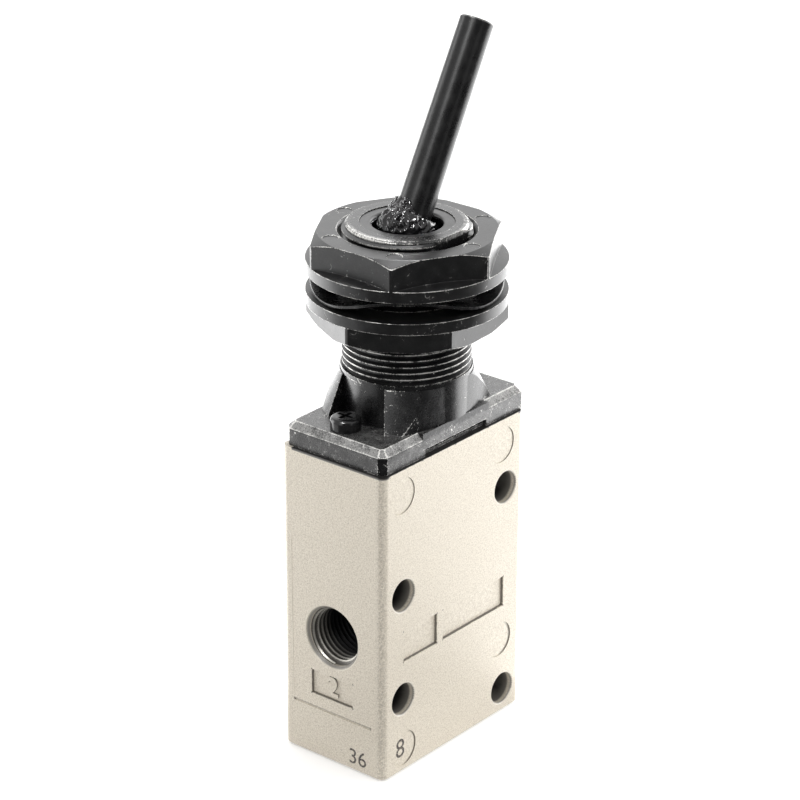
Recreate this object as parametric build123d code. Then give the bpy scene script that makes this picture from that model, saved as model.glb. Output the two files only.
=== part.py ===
from build123d import *

import math
import os

# Hand lever air valve: a die cast valve body with two threaded side ports, and on top of it a
# black housing with a threaded neck, two flanged nuts, a wave washer and a tilting toggle lever.
# The lever's cam pushes a hollow plunger down onto a spring loaded poppet: that closes the exhaust
# way through the plunger first and then lifts the poppet off its seat.
# Frame: origin at the centre of the body's bottom face, +Z up along the neck, +X towards the inlet
# side and -X towards the outlet side, wide faces at -Y and +Y. Sizes are in millimetres.

# Valve body
BODY_LENGTH = 34.3
BODY_WIDTH = 20.3
BODY_HEIGHT = 51.7
BODY_EDGE_R = 1.2
BODY_RIM_CHAMFER = 0.25
AXIS_X = 0.8
AXIS_Y = 0.2

# Ports: thread wall radius, depth and mouth chamfer, then the narrow way to the chamber
PORT_R = 4.86
PORT_DEPTH = 9.0
PORT_CHAMFER = 0.5
PORT_CONE = 2.0
PASSAGE_R = 1.9
OUTLET_Z = 21.75
INLET_Z = 13.0

# Through holes that hold the body to a machine
HOLE_R = 2.6
HOLE_CHAMFER = 0.2
OUTLET_SIDE_X = -12.3
OUTLET_SIDE_Z = (12.65, 30.5)
INLET_SIDE_X = 12.7
INLET_SIDE_Z = (4.05, 39.8)

# Shallow moulded details on the body
PANEL_DEPTH = 0.45
PANEL_BOTTOM_Z = 19.1
PANEL_HEIGHT = 5.2
PANEL_SPANS_X = ((-12.3, -4.1), (-2.7, 12.6))
PORT_PANEL_WIDTH = 8.4
PORT_PANEL_HEIGHT = 4.2
PORT_PANEL_GAP = 1.4
MARK_R = 3.0
MARK_DEPTH = 0.12
MARK_SPOTS = ((-12.8, 47.5), (11.6, 47.5), (11.6, 13.4), (-12.3, 4.0))
LINE_Z = 8.3
LINE_WIDTH = 0.3
LINE_LENGTH = 15.6

# Stepped bore of the body
END_BORE_R = 6.2
PLUG_SHOULDER_Z = 5.2
INLET_CHAMBER_R = 5.6
SEAT_WEB_Z = 16.5
SEAT_WEB_THICKNESS = 1.2
SEAT_WEB_HOLE_R = 3.2
OUTLET_CHAMBER_R = 5.0
BUSH_SHOULDER_Z = 27.0

# Bottom plug, its seal and the clips
FIT = 0.05
PLUG_HEIGHT = 3.6
PLUG_PULL_R = 1.25
PLUG_PULL_DEPTH = 2.0
SEAL_WIRE_R = 0.6
SEAL_SQUEEZE = 0.02
CLIP_THICKNESS = 0.8
CLIP_GROOVE_DEPTH = 0.6
CLIP_WIDTH = 1.5
CLIP_GAP_ANGLE = 50.0
CLIP_EAR_R = 1.0
CLIP_EAR_HOLE_R = 0.4
CLIP_PLAY = 0.05

# Seat, poppet and plunger
SEAT_HEIGHT = 1.6
SEAT_HOLE_R = 2.9
SEAT_LIP_WIDTH = 0.6
SEAT_LIP_HEIGHT = 0.3
SEAT_CONTACT = 0.02
POPPET_R = 4.5
POPPET_WALL = 0.55
POPPET_FLOOR = 2.7
POPPET_RIM = 0.9
POPPET_SEAL_HEIGHT = 1.48
POPPET_STEM_R = 1.5
POPPET_STEM_LENGTH = 2.9
PLUNGER_TIP_R = 2.0
PLUNGER_R = 3.0
PLUNGER_HOLE_R = 1.1
PLUNGER_TOP_Z = 46.0
PLUNGER_SHOULDER_Z = 20.2
PLUNGER_VENT_R = 0.9
PLUNGER_SOCKET_DEPTH = 1.5
EXHAUST_GAP = 0.6
STEM_STROKE = 1.8
BUSH_HEIGHT = 13.0
BUSH_SEAL_OFFSETS = (3.5, 9.5)
RUNNING = 0.05

# Springs
POPPET_SPRING_R = 2.7
POPPET_SPRING_WIRE_R = 0.25
POPPET_SPRING_TURNS = 4.0
RETURN_SPRING_R = 3.3
RETURN_SPRING_WIRE_R = 0.35
RETURN_SPRING_TURNS = 7.0

# Housing: plate with a chamfered rim, flared skirt, collar and threaded neck
PLATE_LENGTH = 34.8
PLATE_WIDTH = 19.6
PLATE_HEIGHT = 3.8
PLATE_CORNER = 1.05
PLATE_CHAMFER = 1.05
PLATE_FLUSH_LENGTH = 16.0
SKIRT_BASE_R = 13.3
SKIRT_SIDE_R = 32.0
SKIRT_HEIGHT = 6.1
SKIRT_TOP_R = 10.3
SKIRT_CORE_R = 10.05
POCKET_CORNER_X = 8.4
POCKET_BACK_Y = 5.5
POCKET_FRONT_Y = -2.6
POCKET_SPLAY = 39.0
COLLAR_HEIGHT = 0.7
COLLAR_R = 10.18
NECK_R = 9.4
NECK_HEIGHT = 22.8
NECK_CHAMFER = 0.3
KEY_FLAT_DEPTH = 0.55
KEY_FLAT_HEIGHT = 9.0
NECK_BORE_R = 6.3
VENT_CHAMBER_R = 7.2
VENT_CHAMBER_HEIGHT = 5.9
GUIDE_WEB_THICKNESS = 2.4
VENT_SLOT_LENGTH = 15.0
VENT_SLOT_HEIGHT = 1.15
VENT_SLOT_DEPTH = 0.6
VENT_FLOOR = 0.5
SCREW_SPACING = 27.2
SCREW_OFFSET_Y = 0.7

# Housing screws
SCREW_R = 1.5
SCREW_CLEARANCE = 0.05
SCREW_HEAD_R = 2.4
SCREW_HEAD_HEIGHT = 2.1
SCREW_HEAD_ROUND = 0.9
SCREW_DEPTH = 6.0
SCREW_TIP_SPACE = 0.8
SCREW_POINT = 0.5
CROSS_LENGTH = 2.7
CROSS_WIDTH = 0.6
CROSS_DEPTH = 1.0

# Lever, its ball, cam and pivot pin
LEVER_TILT = 29.25
PIVOT_DROP = 1.8
LEVER_LENGTH = 33.6
LEVER_BASE_R = 2.85
LEVER_TIP_R = 2.68
LEVER_TIP_CHAMFER = 0.25
BALL_R = 3.7
BALL_BELOW = 2.2
CAM_R = 4.8
CAM_HALF_WIDTH = 1.9
CAM_TOP = 2.0
CAM_REACH_BACK = 4.3
CAM_REACH_FRONT = 2.2
PIN_R = 0.9
PIN_END_PLAY = 0.1
PIN_SLOT_CLEARANCE = 0.02

# Ring in the neck's mouth and the dust boot that is gathered over the lever's ball
RING_R = 7.2
RING_HOLE_R = 5.4
RING_HEIGHT = 0.7
RING_ROUND = 0.45
RING_SINK = 0.15
BOOT_CLEARANCE = 0.05
BOOT_R = 4.4
BOOT_FOLD = 0.55
BOOT_BELOW = 1.2
BOOT_SHOULDER = 2.4
BOOT_TOP = 5.4
BOOT_TOP_R = 3.25
BOOT_NOTCH_R = 1.05

# Push rod and its guide in the housing
ROD_R = 2.0
ROD_HEAD_R = 4.0
ROD_HEAD_HEIGHT = 2.0
ROD_HEAD_CHAMFER = 0.4
CAM_GAP = 0.05
GUIDE_R = 4.0
GUIDE_FLANGE_R = 5.8
GUIDE_FLANGE_HEIGHT = 1.0

# Nuts and wave washer
NUT_ACROSS_FLATS = 27.0
UPPER_NUT_HEIGHT = 6.25
LOWER_NUT_HEIGHT = 5.4
NUT_FLANGE_R = 15.45
NUT_RIM_HEIGHT = 1.8
NUT_FLANGE_HEIGHT = 2.3
NUT_BORE_CLEARANCE = 0.08
NUT_COUNTERSINK = 1.2
NUT_CHAMFER_R = 13.8
NUT_CHAMFER_ANGLE = 30.0
NUT_MARK_R = 1.2
NUT_MARK_CIRCLE_R = 12.3
NUT_MARK_DEPTH = 0.12
UPPER_NUT_DROP = 7.4
UPPER_NUT_TURN = 30.6
LOWER_NUT_TURN = 3.9
WASHER_SPACE = 3.2
WASHER_THICKNESS = 0.5
WASHER_INNER_R = 10.4
WASHER_OUTER_R = 14.7
WASHER_WAVES = 3
WASHER_POINTS_PER_WAVE = 12
WASHER_HIGH_ANGLE = 218.5
WASHER_SEAT_GAP = 0.03

# How far a cutter reaches past the piece it cuts
CUT_REACH = 1.0

# Heights and places that follow from the sizes above
PLATE_TOP = BODY_HEIGHT + PLATE_HEIGHT
SKIRT_TOP = PLATE_TOP + SKIRT_HEIGHT
NECK_START = SKIRT_TOP + COLLAR_HEIGHT
NECK_TOP = NECK_START + NECK_HEIGHT
PIVOT_Z = NECK_TOP - PIVOT_DROP
RING_TOP = NECK_TOP - RING_SINK
RING_BOTTOM = RING_TOP - RING_HEIGHT
CAM_OFFSET = STEM_STROKE / (2.0 * math.sin(math.radians(LEVER_TILT)))
ROD_TOP = PIVOT_Z + STEM_STROKE / 2.0 - CAM_R - CAM_GAP
ROD_HEAD_BOTTOM = ROD_TOP - ROD_HEAD_HEIGHT
PLUG_BOTTOM = PLUG_SHOULDER_Z - PLUG_HEIGHT
SEAT_BOTTOM = SEAT_WEB_Z - SEAT_HEIGHT
LIP_Z = SEAT_BOTTOM - SEAT_LIP_HEIGHT
POPPET_SEAL_TOP = LIP_Z - SEAT_CONTACT
POPPET_SEAL_BOTTOM = POPPET_SEAL_TOP - POPPET_SEAL_HEIGHT
POPPET_BOTTOM = POPPET_SEAL_BOTTOM - POPPET_FLOOR
PLUNGER_TIP_Z = POPPET_SEAL_TOP + EXHAUST_GAP
GUIDE_WEB_Z = BODY_HEIGHT + VENT_CHAMBER_HEIGHT
GUIDE_WEB_TOP = GUIDE_WEB_Z + GUIDE_WEB_THICKNESS
UPPER_NUT_Z = NECK_TOP - UPPER_NUT_DROP
LOWER_NUT_TOP = UPPER_NUT_Z - WASHER_SPACE
CLIP_R = END_BORE_R + CLIP_GROOVE_DEPTH
BUSH_TOP = BUSH_SHOULDER_Z + BUSH_HEIGHT
PLUG_MIDDLE_Z = PLUG_SHOULDER_Z - PLUG_HEIGHT / 2.0
SEAL_GROOVE_HALF = SEAL_WIRE_R + SEAL_SQUEEZE

BASE = (Align.CENTER, Align.CENTER, Align.MIN)
ON_AXIS = Pos(AXIS_X, AXIS_Y, 0)
SCREW_SPOTS = tuple(
    (AXIS_X + side * SCREW_SPACING / 2.0, AXIS_Y + SCREW_OFFSET_Y) for side in (-1, 1)
)
LEVER_PLACE = Pos(AXIS_X, AXIS_Y, PIVOT_Z) * Rot(0, LEVER_TILT, 0)


def disc(radius, low, high):
    """Cylinder on the working axis between two heights."""
    return ON_AXIS * Pos(0, 0, low) * Cylinder(radius, high - low, align=BASE)


def spun(points):
    """Solid spun about the Z axis from (radius, height) points."""
    outline = Polyline(*[(radius, 0, height) for radius, height in points], close=True)
    return revolve(make_face(outline), Axis.Z)


def block(span_x, span_y, span_z):
    """Box between two limits along each axis."""
    size = [high - low for low, high in (span_x, span_y, span_z)]
    middle = [(high + low) / 2.0 for low, high in (span_x, span_y, span_z)]
    return Pos(*middle) * Box(*size)


def coil(mean_r, wire_r, low, high, turns):
    """Helical spring that fills the height between two seats."""
    rise = high - low - 2.0 * wire_r
    path = Helix(pitch=rise / turns, height=rise, radius=mean_r)
    section = Plane(origin=path @ 0, z_dir=path % 0) * Circle(wire_r)
    return ON_AXIS * Pos(0, 0, low + wire_r) * sweep(section, path, is_frenet=True)


def port_tool(side, height, chamber_r):
    """Cutter of one port: chamfered mouth, thread wall, drill cone and way to the chamber."""
    face_x = BODY_LENGTH / 2.0
    depth = BODY_LENGTH / 2.0 - side * AXIS_X - chamber_r / 2.0
    outline = [
        (0, 0),
        (PORT_R + PORT_CHAMFER, 0),
        (PORT_R, PORT_CHAMFER),
        (PORT_R, PORT_DEPTH),
        (PASSAGE_R, PORT_DEPTH + PORT_CONE),
        (PASSAGE_R, depth),
        (0, depth),
    ]
    return Pos(side * face_x, AXIS_Y, height) * Rot(0, -90 * side, 0) * spun(outline)


def mounting_hole(x, z):
    """Cutter of one through hole with a small chamfer at both faces."""
    half = BODY_WIDTH / 2.0
    wide = HOLE_R + HOLE_CHAMFER
    outline = [
        (0, -half),
        (wide, -half),
        (HOLE_R, -half + HOLE_CHAMFER),
        (HOLE_R, half - HOLE_CHAMFER),
        (wide, half),
        (0, half),
    ]
    return Pos(x, 0, z) * Rot(90, 0, 0) * spun(outline)


def body_bore():
    """Cutter of the stepped bore with the two clip grooves."""
    groove_height = CLIP_THICKNESS + CLIP_PLAY
    bore = disc(END_BORE_R, 0, PLUG_SHOULDER_Z)
    bore += disc(INLET_CHAMBER_R, PLUG_SHOULDER_Z, SEAT_WEB_Z)
    bore += disc(SEAT_WEB_HOLE_R, SEAT_WEB_Z, SEAT_WEB_Z + SEAT_WEB_THICKNESS)
    bore += disc(OUTLET_CHAMBER_R, SEAT_WEB_Z + SEAT_WEB_THICKNESS, BUSH_SHOULDER_Z)
    bore += disc(END_BORE_R, BUSH_SHOULDER_Z, BODY_HEIGHT)
    bore += disc(CLIP_R, PLUG_BOTTOM - groove_height, PLUG_BOTTOM)
    bore += disc(CLIP_R, BUSH_TOP, BUSH_TOP + groove_height)
    return bore


def body_panels():
    """Cutters of the shallow panels, ejector marks and scored line."""
    near = -BODY_WIDTH / 2.0
    depth_y = (near, near + PANEL_DEPTH)
    height_z = (PANEL_BOTTOM_Z, PANEL_BOTTOM_Z + PANEL_HEIGHT)
    cuts = [block(span, depth_y, height_z) for span in PANEL_SPANS_X]
    for x, z in MARK_SPOTS:
        cuts.append(Pos(x, near, z) * Rot(-90, 0, 0) * Cylinder(MARK_R, MARK_DEPTH, align=BASE))
    half = PORT_PANEL_WIDTH / 2.0
    for side, height in ((-1, OUTLET_Z), (1, INLET_Z)):
        edge = side * BODY_LENGTH / 2.0
        top = height - PORT_R - PORT_CHAMFER - PORT_PANEL_GAP
        if side > 0:
            top = height + PORT_R + PORT_CHAMFER + PORT_PANEL_GAP + PORT_PANEL_HEIGHT
        depth_span = tuple(sorted((edge, edge - side * PANEL_DEPTH)))
        cuts.append(block(depth_span, (AXIS_Y - half, AXIS_Y + half), (top - PORT_PANEL_HEIGHT, top)))
    left = -BODY_LENGTH / 2.0
    line_y = (AXIS_Y - LINE_LENGTH / 2.0, AXIS_Y + LINE_LENGTH / 2.0)
    cuts.append(block((left, left + MARK_DEPTH), line_y, (LINE_Z, LINE_Z + LINE_WIDTH)))
    return cuts


def valve_body():
    """Die cast block with the stepped bore, two ports and four through holes."""
    blank = Box(BODY_LENGTH, BODY_WIDTH, BODY_HEIGHT, align=BASE)
    blank = fillet(blank.edges().filter_by(Axis.Z), BODY_EDGE_R)
    blank = chamfer(blank.faces().sort_by(Axis.Z)[0].outer_wire().edges(), BODY_RIM_CHAMFER)
    blank -= body_bore()
    blank -= port_tool(-1, OUTLET_Z, OUTLET_CHAMBER_R)
    blank -= port_tool(1, INLET_Z, INLET_CHAMBER_R)
    for x, heights in ((OUTLET_SIDE_X, OUTLET_SIDE_Z), (INLET_SIDE_X, INLET_SIDE_Z)):
        for z in heights:
            blank -= mounting_hole(x, z)
    screw_hole = SCREW_R + SCREW_CLEARANCE
    depth = SCREW_DEPTH + SCREW_TIP_SPACE
    for x, y in SCREW_SPOTS:
        blank -= Pos(x, y, BODY_HEIGHT - depth) * Cylinder(screw_hole, depth, align=BASE)
    for cut in body_panels():
        blank -= cut
    return blank


def housing_plate():
    """Rectangular plate with chamfered corners and a chamfered rim, plain beside the skirt."""
    plate = Box(PLATE_LENGTH, PLATE_WIDTH, PLATE_HEIGHT, align=BASE)
    plate = chamfer(plate.edges().filter_by(Axis.Z), PLATE_CORNER)
    plate = chamfer(plate.faces().sort_by(Axis.Z)[-1].outer_wire().edges(), PLATE_CHAMFER)
    plate += Box(PLATE_FLUSH_LENGTH, PLATE_WIDTH, PLATE_HEIGHT, align=BASE)
    return ON_AXIS * Pos(0, 0, BODY_HEIGHT) * plate


def screw_pocket():
    """Pocket over one screw, straight behind and splayed outwards in front."""
    reach = SKIRT_BASE_R + CUT_REACH
    splay = (reach - POCKET_CORNER_X) * math.tan(math.radians(POCKET_SPLAY))
    outline = Polyline(
        (POCKET_CORNER_X, POCKET_BACK_Y),
        (POCKET_CORNER_X, POCKET_FRONT_Y),
        (reach, POCKET_FRONT_Y - splay),
        (reach, POCKET_BACK_Y),
        close=True,
    )
    return extrude(make_face(outline), SKIRT_HEIGHT, dir=(0, 0, 1))


def housing_skirt():
    """Flared skirt: a cone with two bulged sides, cut by a pocket for each screw."""
    side_shift = SKIRT_SIDE_R - PLATE_WIDTH / 2.0
    cone = Cone(SKIRT_BASE_R, SKIRT_TOP_R, SKIRT_HEIGHT, align=BASE)
    for side in (-1, 1):
        cone &= Pos(0, side * side_shift, 0) * Cylinder(SKIRT_SIDE_R, SKIRT_HEIGHT, align=BASE)
    pocket = screw_pocket()
    cone -= pocket
    cone -= mirror(pocket, Plane.YZ)
    core = Cylinder(SKIRT_CORE_R, SKIRT_HEIGHT, align=BASE)
    return ON_AXIS * Pos(0, 0, PLATE_TOP) * (cone + core)


def housing_neck():
    """Collar and plain neck under the thread, with a chamfered mouth and a key flat."""
    outline = [
        (0, SKIRT_TOP),
        (COLLAR_R, SKIRT_TOP),
        (COLLAR_R, NECK_START),
        (NECK_R, NECK_START),
        (NECK_R, NECK_TOP - NECK_CHAMFER),
        (NECK_R - NECK_CHAMFER, NECK_TOP),
        (0, NECK_TOP),
    ]
    flat_y = (-NECK_R - CUT_REACH, -NECK_R + KEY_FLAT_DEPTH)
    flat = block((-NECK_R, NECK_R), flat_y, (NECK_TOP - KEY_FLAT_HEIGHT, NECK_TOP))
    return ON_AXIS * (spun(outline) - flat)


def pin_length():
    """Length of the pivot pin between the ends of its slots."""
    return 2.0 * (RING_R - PIN_END_PLAY)


def toggle_housing():
    """Black housing: plate, skirt and neck in one piece, hollow for the mechanism."""
    shell = housing_plate() + housing_skirt() + housing_neck()
    shell -= disc(VENT_CHAMBER_R, BODY_HEIGHT, GUIDE_WEB_Z)
    shell -= disc(GUIDE_R + FIT, GUIDE_WEB_Z, GUIDE_WEB_TOP)
    shell -= disc(NECK_BORE_R, GUIDE_WEB_TOP, RING_BOTTOM)
    shell -= disc(RING_R + FIT, RING_BOTTOM, NECK_TOP)
    slot_r = PIN_R + PIN_SLOT_CLEARANCE
    slot_y = pin_length() / 2.0 + PIN_END_PLAY
    shell -= Pos(AXIS_X, AXIS_Y, PIVOT_Z) * Rot(90, 0, 0) * Cylinder(slot_r, 2.0 * slot_y)
    slot = block((-slot_r, slot_r), (-slot_y, slot_y), (PIVOT_Z, RING_BOTTOM))
    half = VENT_SLOT_LENGTH / 2.0
    front = -PLATE_WIDTH / 2.0
    vent_top = BODY_HEIGHT + VENT_SLOT_HEIGHT
    slot += block((-half, half), (front, front + VENT_SLOT_DEPTH), (BODY_HEIGHT, vent_top))
    slot += block((-half, half), (front, 0), (BODY_HEIGHT + VENT_FLOOR, vent_top))
    shell -= ON_AXIS * slot
    for x, y in SCREW_SPOTS:
        shell -= Pos(x, y, BODY_HEIGHT) * Cylinder(SCREW_R + SCREW_CLEARANCE, PLATE_HEIGHT, align=BASE)
    return shell


def housing_screw():
    """Pan head screw with a cross recess; its head's underside is at height 0."""
    head = Cylinder(SCREW_HEAD_R, SCREW_HEAD_HEIGHT, align=BASE)
    head = fillet(head.edges().sort_by(Axis.Z)[-1], SCREW_HEAD_ROUND)
    low = SCREW_HEAD_HEIGHT - CROSS_DEPTH
    half_length = CROSS_LENGTH / 2.0
    half_width = CROSS_WIDTH / 2.0
    for turn in (0, 90):
        bar = block((-half_length, half_length), (-half_width, half_width), (low, SCREW_HEAD_HEIGHT))
        head -= Rot(0, 0, turn) * bar
    length = PLATE_HEIGHT + SCREW_DEPTH
    shank = Pos(0, 0, -length) * Cylinder(SCREW_R, length, align=BASE)
    return head + chamfer(shank.edges().sort_by(Axis.Z)[0], SCREW_POINT)


def housing_screws():
    """Both screws that hold the housing to the body."""
    return Compound(children=[Pos(x, y, PLATE_TOP) * housing_screw() for x, y in SCREW_SPOTS])


def neck_ring():
    """Ring in the neck's mouth that keeps the pivot pin in its slots."""
    ring = Cylinder(RING_R, RING_HEIGHT, align=BASE) - Cylinder(RING_HOLE_R, RING_HEIGHT, align=BASE)
    mouth = ring.edges().filter_by(GeomType.CIRCLE).group_by(Axis.Z)[-1].sort_by(SortBy.RADIUS)[0]
    return ON_AXIS * Pos(0, 0, RING_BOTTOM) * fillet(mouth, RING_ROUND)


def pivot_pin():
    """Cross pin that the lever's ball turns on."""
    return Pos(AXIS_X, AXIS_Y, PIVOT_Z) * Rot(90, 0, 0) * Cylinder(PIN_R, pin_length())


def lever():
    """Tapered lever, its ball cut flat below the pin and the eccentric cam, tilted as at rest."""
    shaft = Cone(LEVER_BASE_R, LEVER_TIP_R, LEVER_LENGTH, align=BASE)
    shaft = chamfer(shaft.edges().sort_by(Axis.Z)[-1], LEVER_TIP_CHAMFER)
    cam_z = (-2.0 * CAM_R, -CAM_TOP)
    cam = block((-CAM_REACH_BACK, CAM_REACH_FRONT), (-CAM_HALF_WIDTH, CAM_HALF_WIDTH), cam_z)
    cam &= Pos(-CAM_OFFSET, 0, 0) * Rot(90, 0, 0) * Cylinder(CAM_R, 2.0 * CAM_HALF_WIDTH)
    ball = Sphere(BALL_R) & block((-BALL_R, BALL_R), (-BALL_R, BALL_R), (-BALL_BELOW, BALL_R))
    whole = shaft + ball + cam
    whole -= Rot(90, 0, 0) * Cylinder(PIN_R + RUNNING, 2.0 * BALL_R)
    return LEVER_PLACE * whole


def dust_boot():
    """Rubber boot: a sheath over the ball with a loose fold behind it, drawn in on the lever's foot."""
    shoulder_r = math.sqrt(BOOT_R**2 - BOOT_SHOULDER**2)
    boot = Sphere(BOOT_R) + Pos(-BOOT_FOLD, 0, 0) * Sphere(BOOT_R)
    boot += Pos(0, 0, BOOT_SHOULDER) * Cone(shoulder_r, BOOT_TOP_R, BOOT_TOP - BOOT_SHOULDER, align=BASE)
    reach = BOOT_R + CUT_REACH
    boot -= block((-reach, reach), (-reach, reach), (-reach, -BOOT_BELOW))
    boot -= Sphere(BALL_R + BOOT_CLEARANCE)
    foot_r = LEVER_BASE_R + BOOT_CLEARANCE
    boot -= Cone(foot_r, LEVER_TIP_R + BOOT_CLEARANCE, LEVER_LENGTH, align=BASE)
    boot -= Rot(90, 0, 0) * Cylinder(BOOT_NOTCH_R, 2.0 * reach)
    boot -= block((-BOOT_NOTCH_R, BOOT_NOTCH_R), (-reach, reach), (-reach, 0))
    return LEVER_PLACE * boot


def push_rod():
    """Rod under the cam, with a flat head that the return spring lifts."""
    foot = PLUNGER_TOP_Z - PLUNGER_SOCKET_DEPTH
    rod = disc(ROD_R, foot, ROD_TOP)
    head = disc(ROD_HEAD_R, ROD_HEAD_BOTTOM, ROD_TOP)
    head = chamfer(head.edges().sort_by(Axis.Z)[-1], ROD_HEAD_CHAMFER)
    return rod + head


def rod_guide():
    """Flanged bush in the housing's web that guides the push rod."""
    bush = disc(GUIDE_R, GUIDE_WEB_Z, GUIDE_WEB_TOP)
    bush += disc(GUIDE_FLANGE_R, GUIDE_WEB_TOP, GUIDE_WEB_TOP + GUIDE_FLANGE_HEIGHT)
    return bush - disc(ROD_R + RUNNING, GUIDE_WEB_Z, GUIDE_WEB_TOP + GUIDE_FLANGE_HEIGHT)


def return_spring():
    """Spring that lifts the push rod against the cam."""
    seat = GUIDE_WEB_TOP + GUIDE_FLANGE_HEIGHT
    return coil(RETURN_SPRING_R, RETURN_SPRING_WIRE_R, seat, ROD_HEAD_BOTTOM, RETURN_SPRING_TURNS)


def plunger():
    """Hollow plunger: the exhaust air goes up through it and out at the cross holes."""
    foot = PLUNGER_TOP_Z - PLUNGER_SOCKET_DEPTH
    stem = disc(PLUNGER_TIP_R, PLUNGER_TIP_Z, PLUNGER_SHOULDER_Z)
    stem += disc(PLUNGER_R, PLUNGER_SHOULDER_Z, PLUNGER_TOP_Z)
    vent_z = foot - 2.0 * PLUNGER_VENT_R
    stem -= disc(PLUNGER_HOLE_R, PLUNGER_TIP_Z, vent_z)
    stem -= Pos(AXIS_X, AXIS_Y, vent_z) * Rot(90, 0, 0) * Cylinder(PLUNGER_VENT_R, 2.0 * PLUNGER_R)
    return stem - disc(ROD_R + RUNNING, foot, PLUNGER_TOP_Z)


def seal_circle_r():
    """Middle radius of a seal that runs on the plunger."""
    return PLUNGER_R + RUNNING + SEAL_WIRE_R


def plunger_bush():
    """Bush that guides the plunger, with two seal grooves inside."""
    bush = disc(END_BORE_R - FIT, BUSH_SHOULDER_Z, BUSH_TOP)
    bush -= disc(PLUNGER_R + RUNNING, BUSH_SHOULDER_Z, BUSH_TOP)
    groove_r = seal_circle_r() + SEAL_WIRE_R + SEAL_SQUEEZE
    for offset in BUSH_SEAL_OFFSETS:
        middle = BUSH_SHOULDER_Z + offset
        bush -= disc(groove_r, middle - SEAL_GROOVE_HALF, middle + SEAL_GROOVE_HALF)
    return bush


def plunger_seals():
    """The two rubber rings in the bush."""
    ring = ON_AXIS * Torus(seal_circle_r(), SEAL_WIRE_R)
    heights = [BUSH_SHOULDER_Z + offset for offset in BUSH_SEAL_OFFSETS]
    return Compound(children=[Pos(0, 0, z) * ring for z in heights])


def valve_seat():
    """Seat ring pressed in under the web, with a raised lip round its hole."""
    ring = disc(INLET_CHAMBER_R - FIT, SEAT_BOTTOM, SEAT_WEB_Z)
    ring += disc(SEAT_HOLE_R + SEAT_LIP_WIDTH, LIP_Z, SEAT_BOTTOM)
    return ring - disc(SEAT_HOLE_R, LIP_Z, SEAT_WEB_Z)


def poppet():
    """Cup that carries the seal, with a short stem inside the spring."""
    cup = disc(POPPET_R, POPPET_BOTTOM, POPPET_SEAL_BOTTOM + POPPET_RIM)
    cup -= disc(POPPET_R - POPPET_WALL, POPPET_SEAL_BOTTOM, POPPET_SEAL_BOTTOM + POPPET_RIM)
    return cup + disc(POPPET_STEM_R, POPPET_BOTTOM - POPPET_STEM_LENGTH, POPPET_BOTTOM)


def poppet_seal():
    """Rubber disc in the poppet that closes the seat and the plunger's hole."""
    return disc(POPPET_R - POPPET_WALL - FIT, POPPET_SEAL_BOTTOM, POPPET_SEAL_TOP)


def poppet_spring():
    """Spring that holds the poppet on its seat."""
    return coil(POPPET_SPRING_R, POPPET_SPRING_WIRE_R, PLUG_SHOULDER_Z, POPPET_BOTTOM, POPPET_SPRING_TURNS)


def plug_groove_r():
    """Bottom radius of the plug's seal groove."""
    return END_BORE_R - 2.0 * (SEAL_WIRE_R + SEAL_SQUEEZE)


def bottom_plug():
    """Plug that closes the bore from below, with a seal groove and a pull hole."""
    plug = disc(END_BORE_R - FIT, PLUG_BOTTOM, PLUG_SHOULDER_Z)
    low = PLUG_MIDDLE_Z - SEAL_GROOVE_HALF
    high = PLUG_MIDDLE_Z + SEAL_GROOVE_HALF
    plug -= disc(END_BORE_R, low, high) - disc(plug_groove_r(), low, high)
    return plug - disc(PLUG_PULL_R, PLUG_BOTTOM, PLUG_BOTTOM + PLUG_PULL_DEPTH)


def plug_seal():
    """Rubber ring in the plug's groove."""
    ring = Torus(END_BORE_R - SEAL_SQUEEZE - SEAL_WIRE_R, SEAL_WIRE_R)
    return ON_AXIS * Pos(0, 0, PLUG_MIDDLE_Z) * ring


def retaining_clip():
    """Internal spring clip with two pierced ears, flat on height 0."""
    outer = CLIP_R - CLIP_PLAY
    ring = Cylinder(outer, CLIP_THICKNESS, align=BASE)
    ring -= Cylinder(outer - CLIP_WIDTH, CLIP_THICKNESS, align=BASE)
    reach = 2.0 * outer
    half = math.radians(CLIP_GAP_ANGLE / 2.0)
    wedge = Polyline(
        (0, 0),
        (reach * math.cos(half), -reach * math.sin(half)),
        (reach * math.cos(half), reach * math.sin(half)),
        close=True,
    )
    ring -= extrude(make_face(wedge), CLIP_THICKNESS)
    ear_at = outer - CLIP_GROOVE_DEPTH - CLIP_EAR_R - CLIP_PLAY
    for side in (-1, 1):
        place = Rot(0, 0, side * CLIP_GAP_ANGLE / 2.0) * Pos(ear_at, side * CLIP_EAR_R / 2.0, 0)
        ring += place * Cylinder(CLIP_EAR_R, CLIP_THICKNESS, align=BASE)
        ring -= place * Cylinder(CLIP_EAR_HOLE_R, CLIP_THICKNESS, align=BASE)
    return ring


def retaining_clips():
    """The two equal clips: under the plug and over the plunger's bush."""
    places = (PLUG_BOTTOM - CLIP_THICKNESS, BUSH_TOP)
    return Compound(children=[ON_AXIS * Pos(0, 0, z) * retaining_clip() for z in places])


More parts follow.
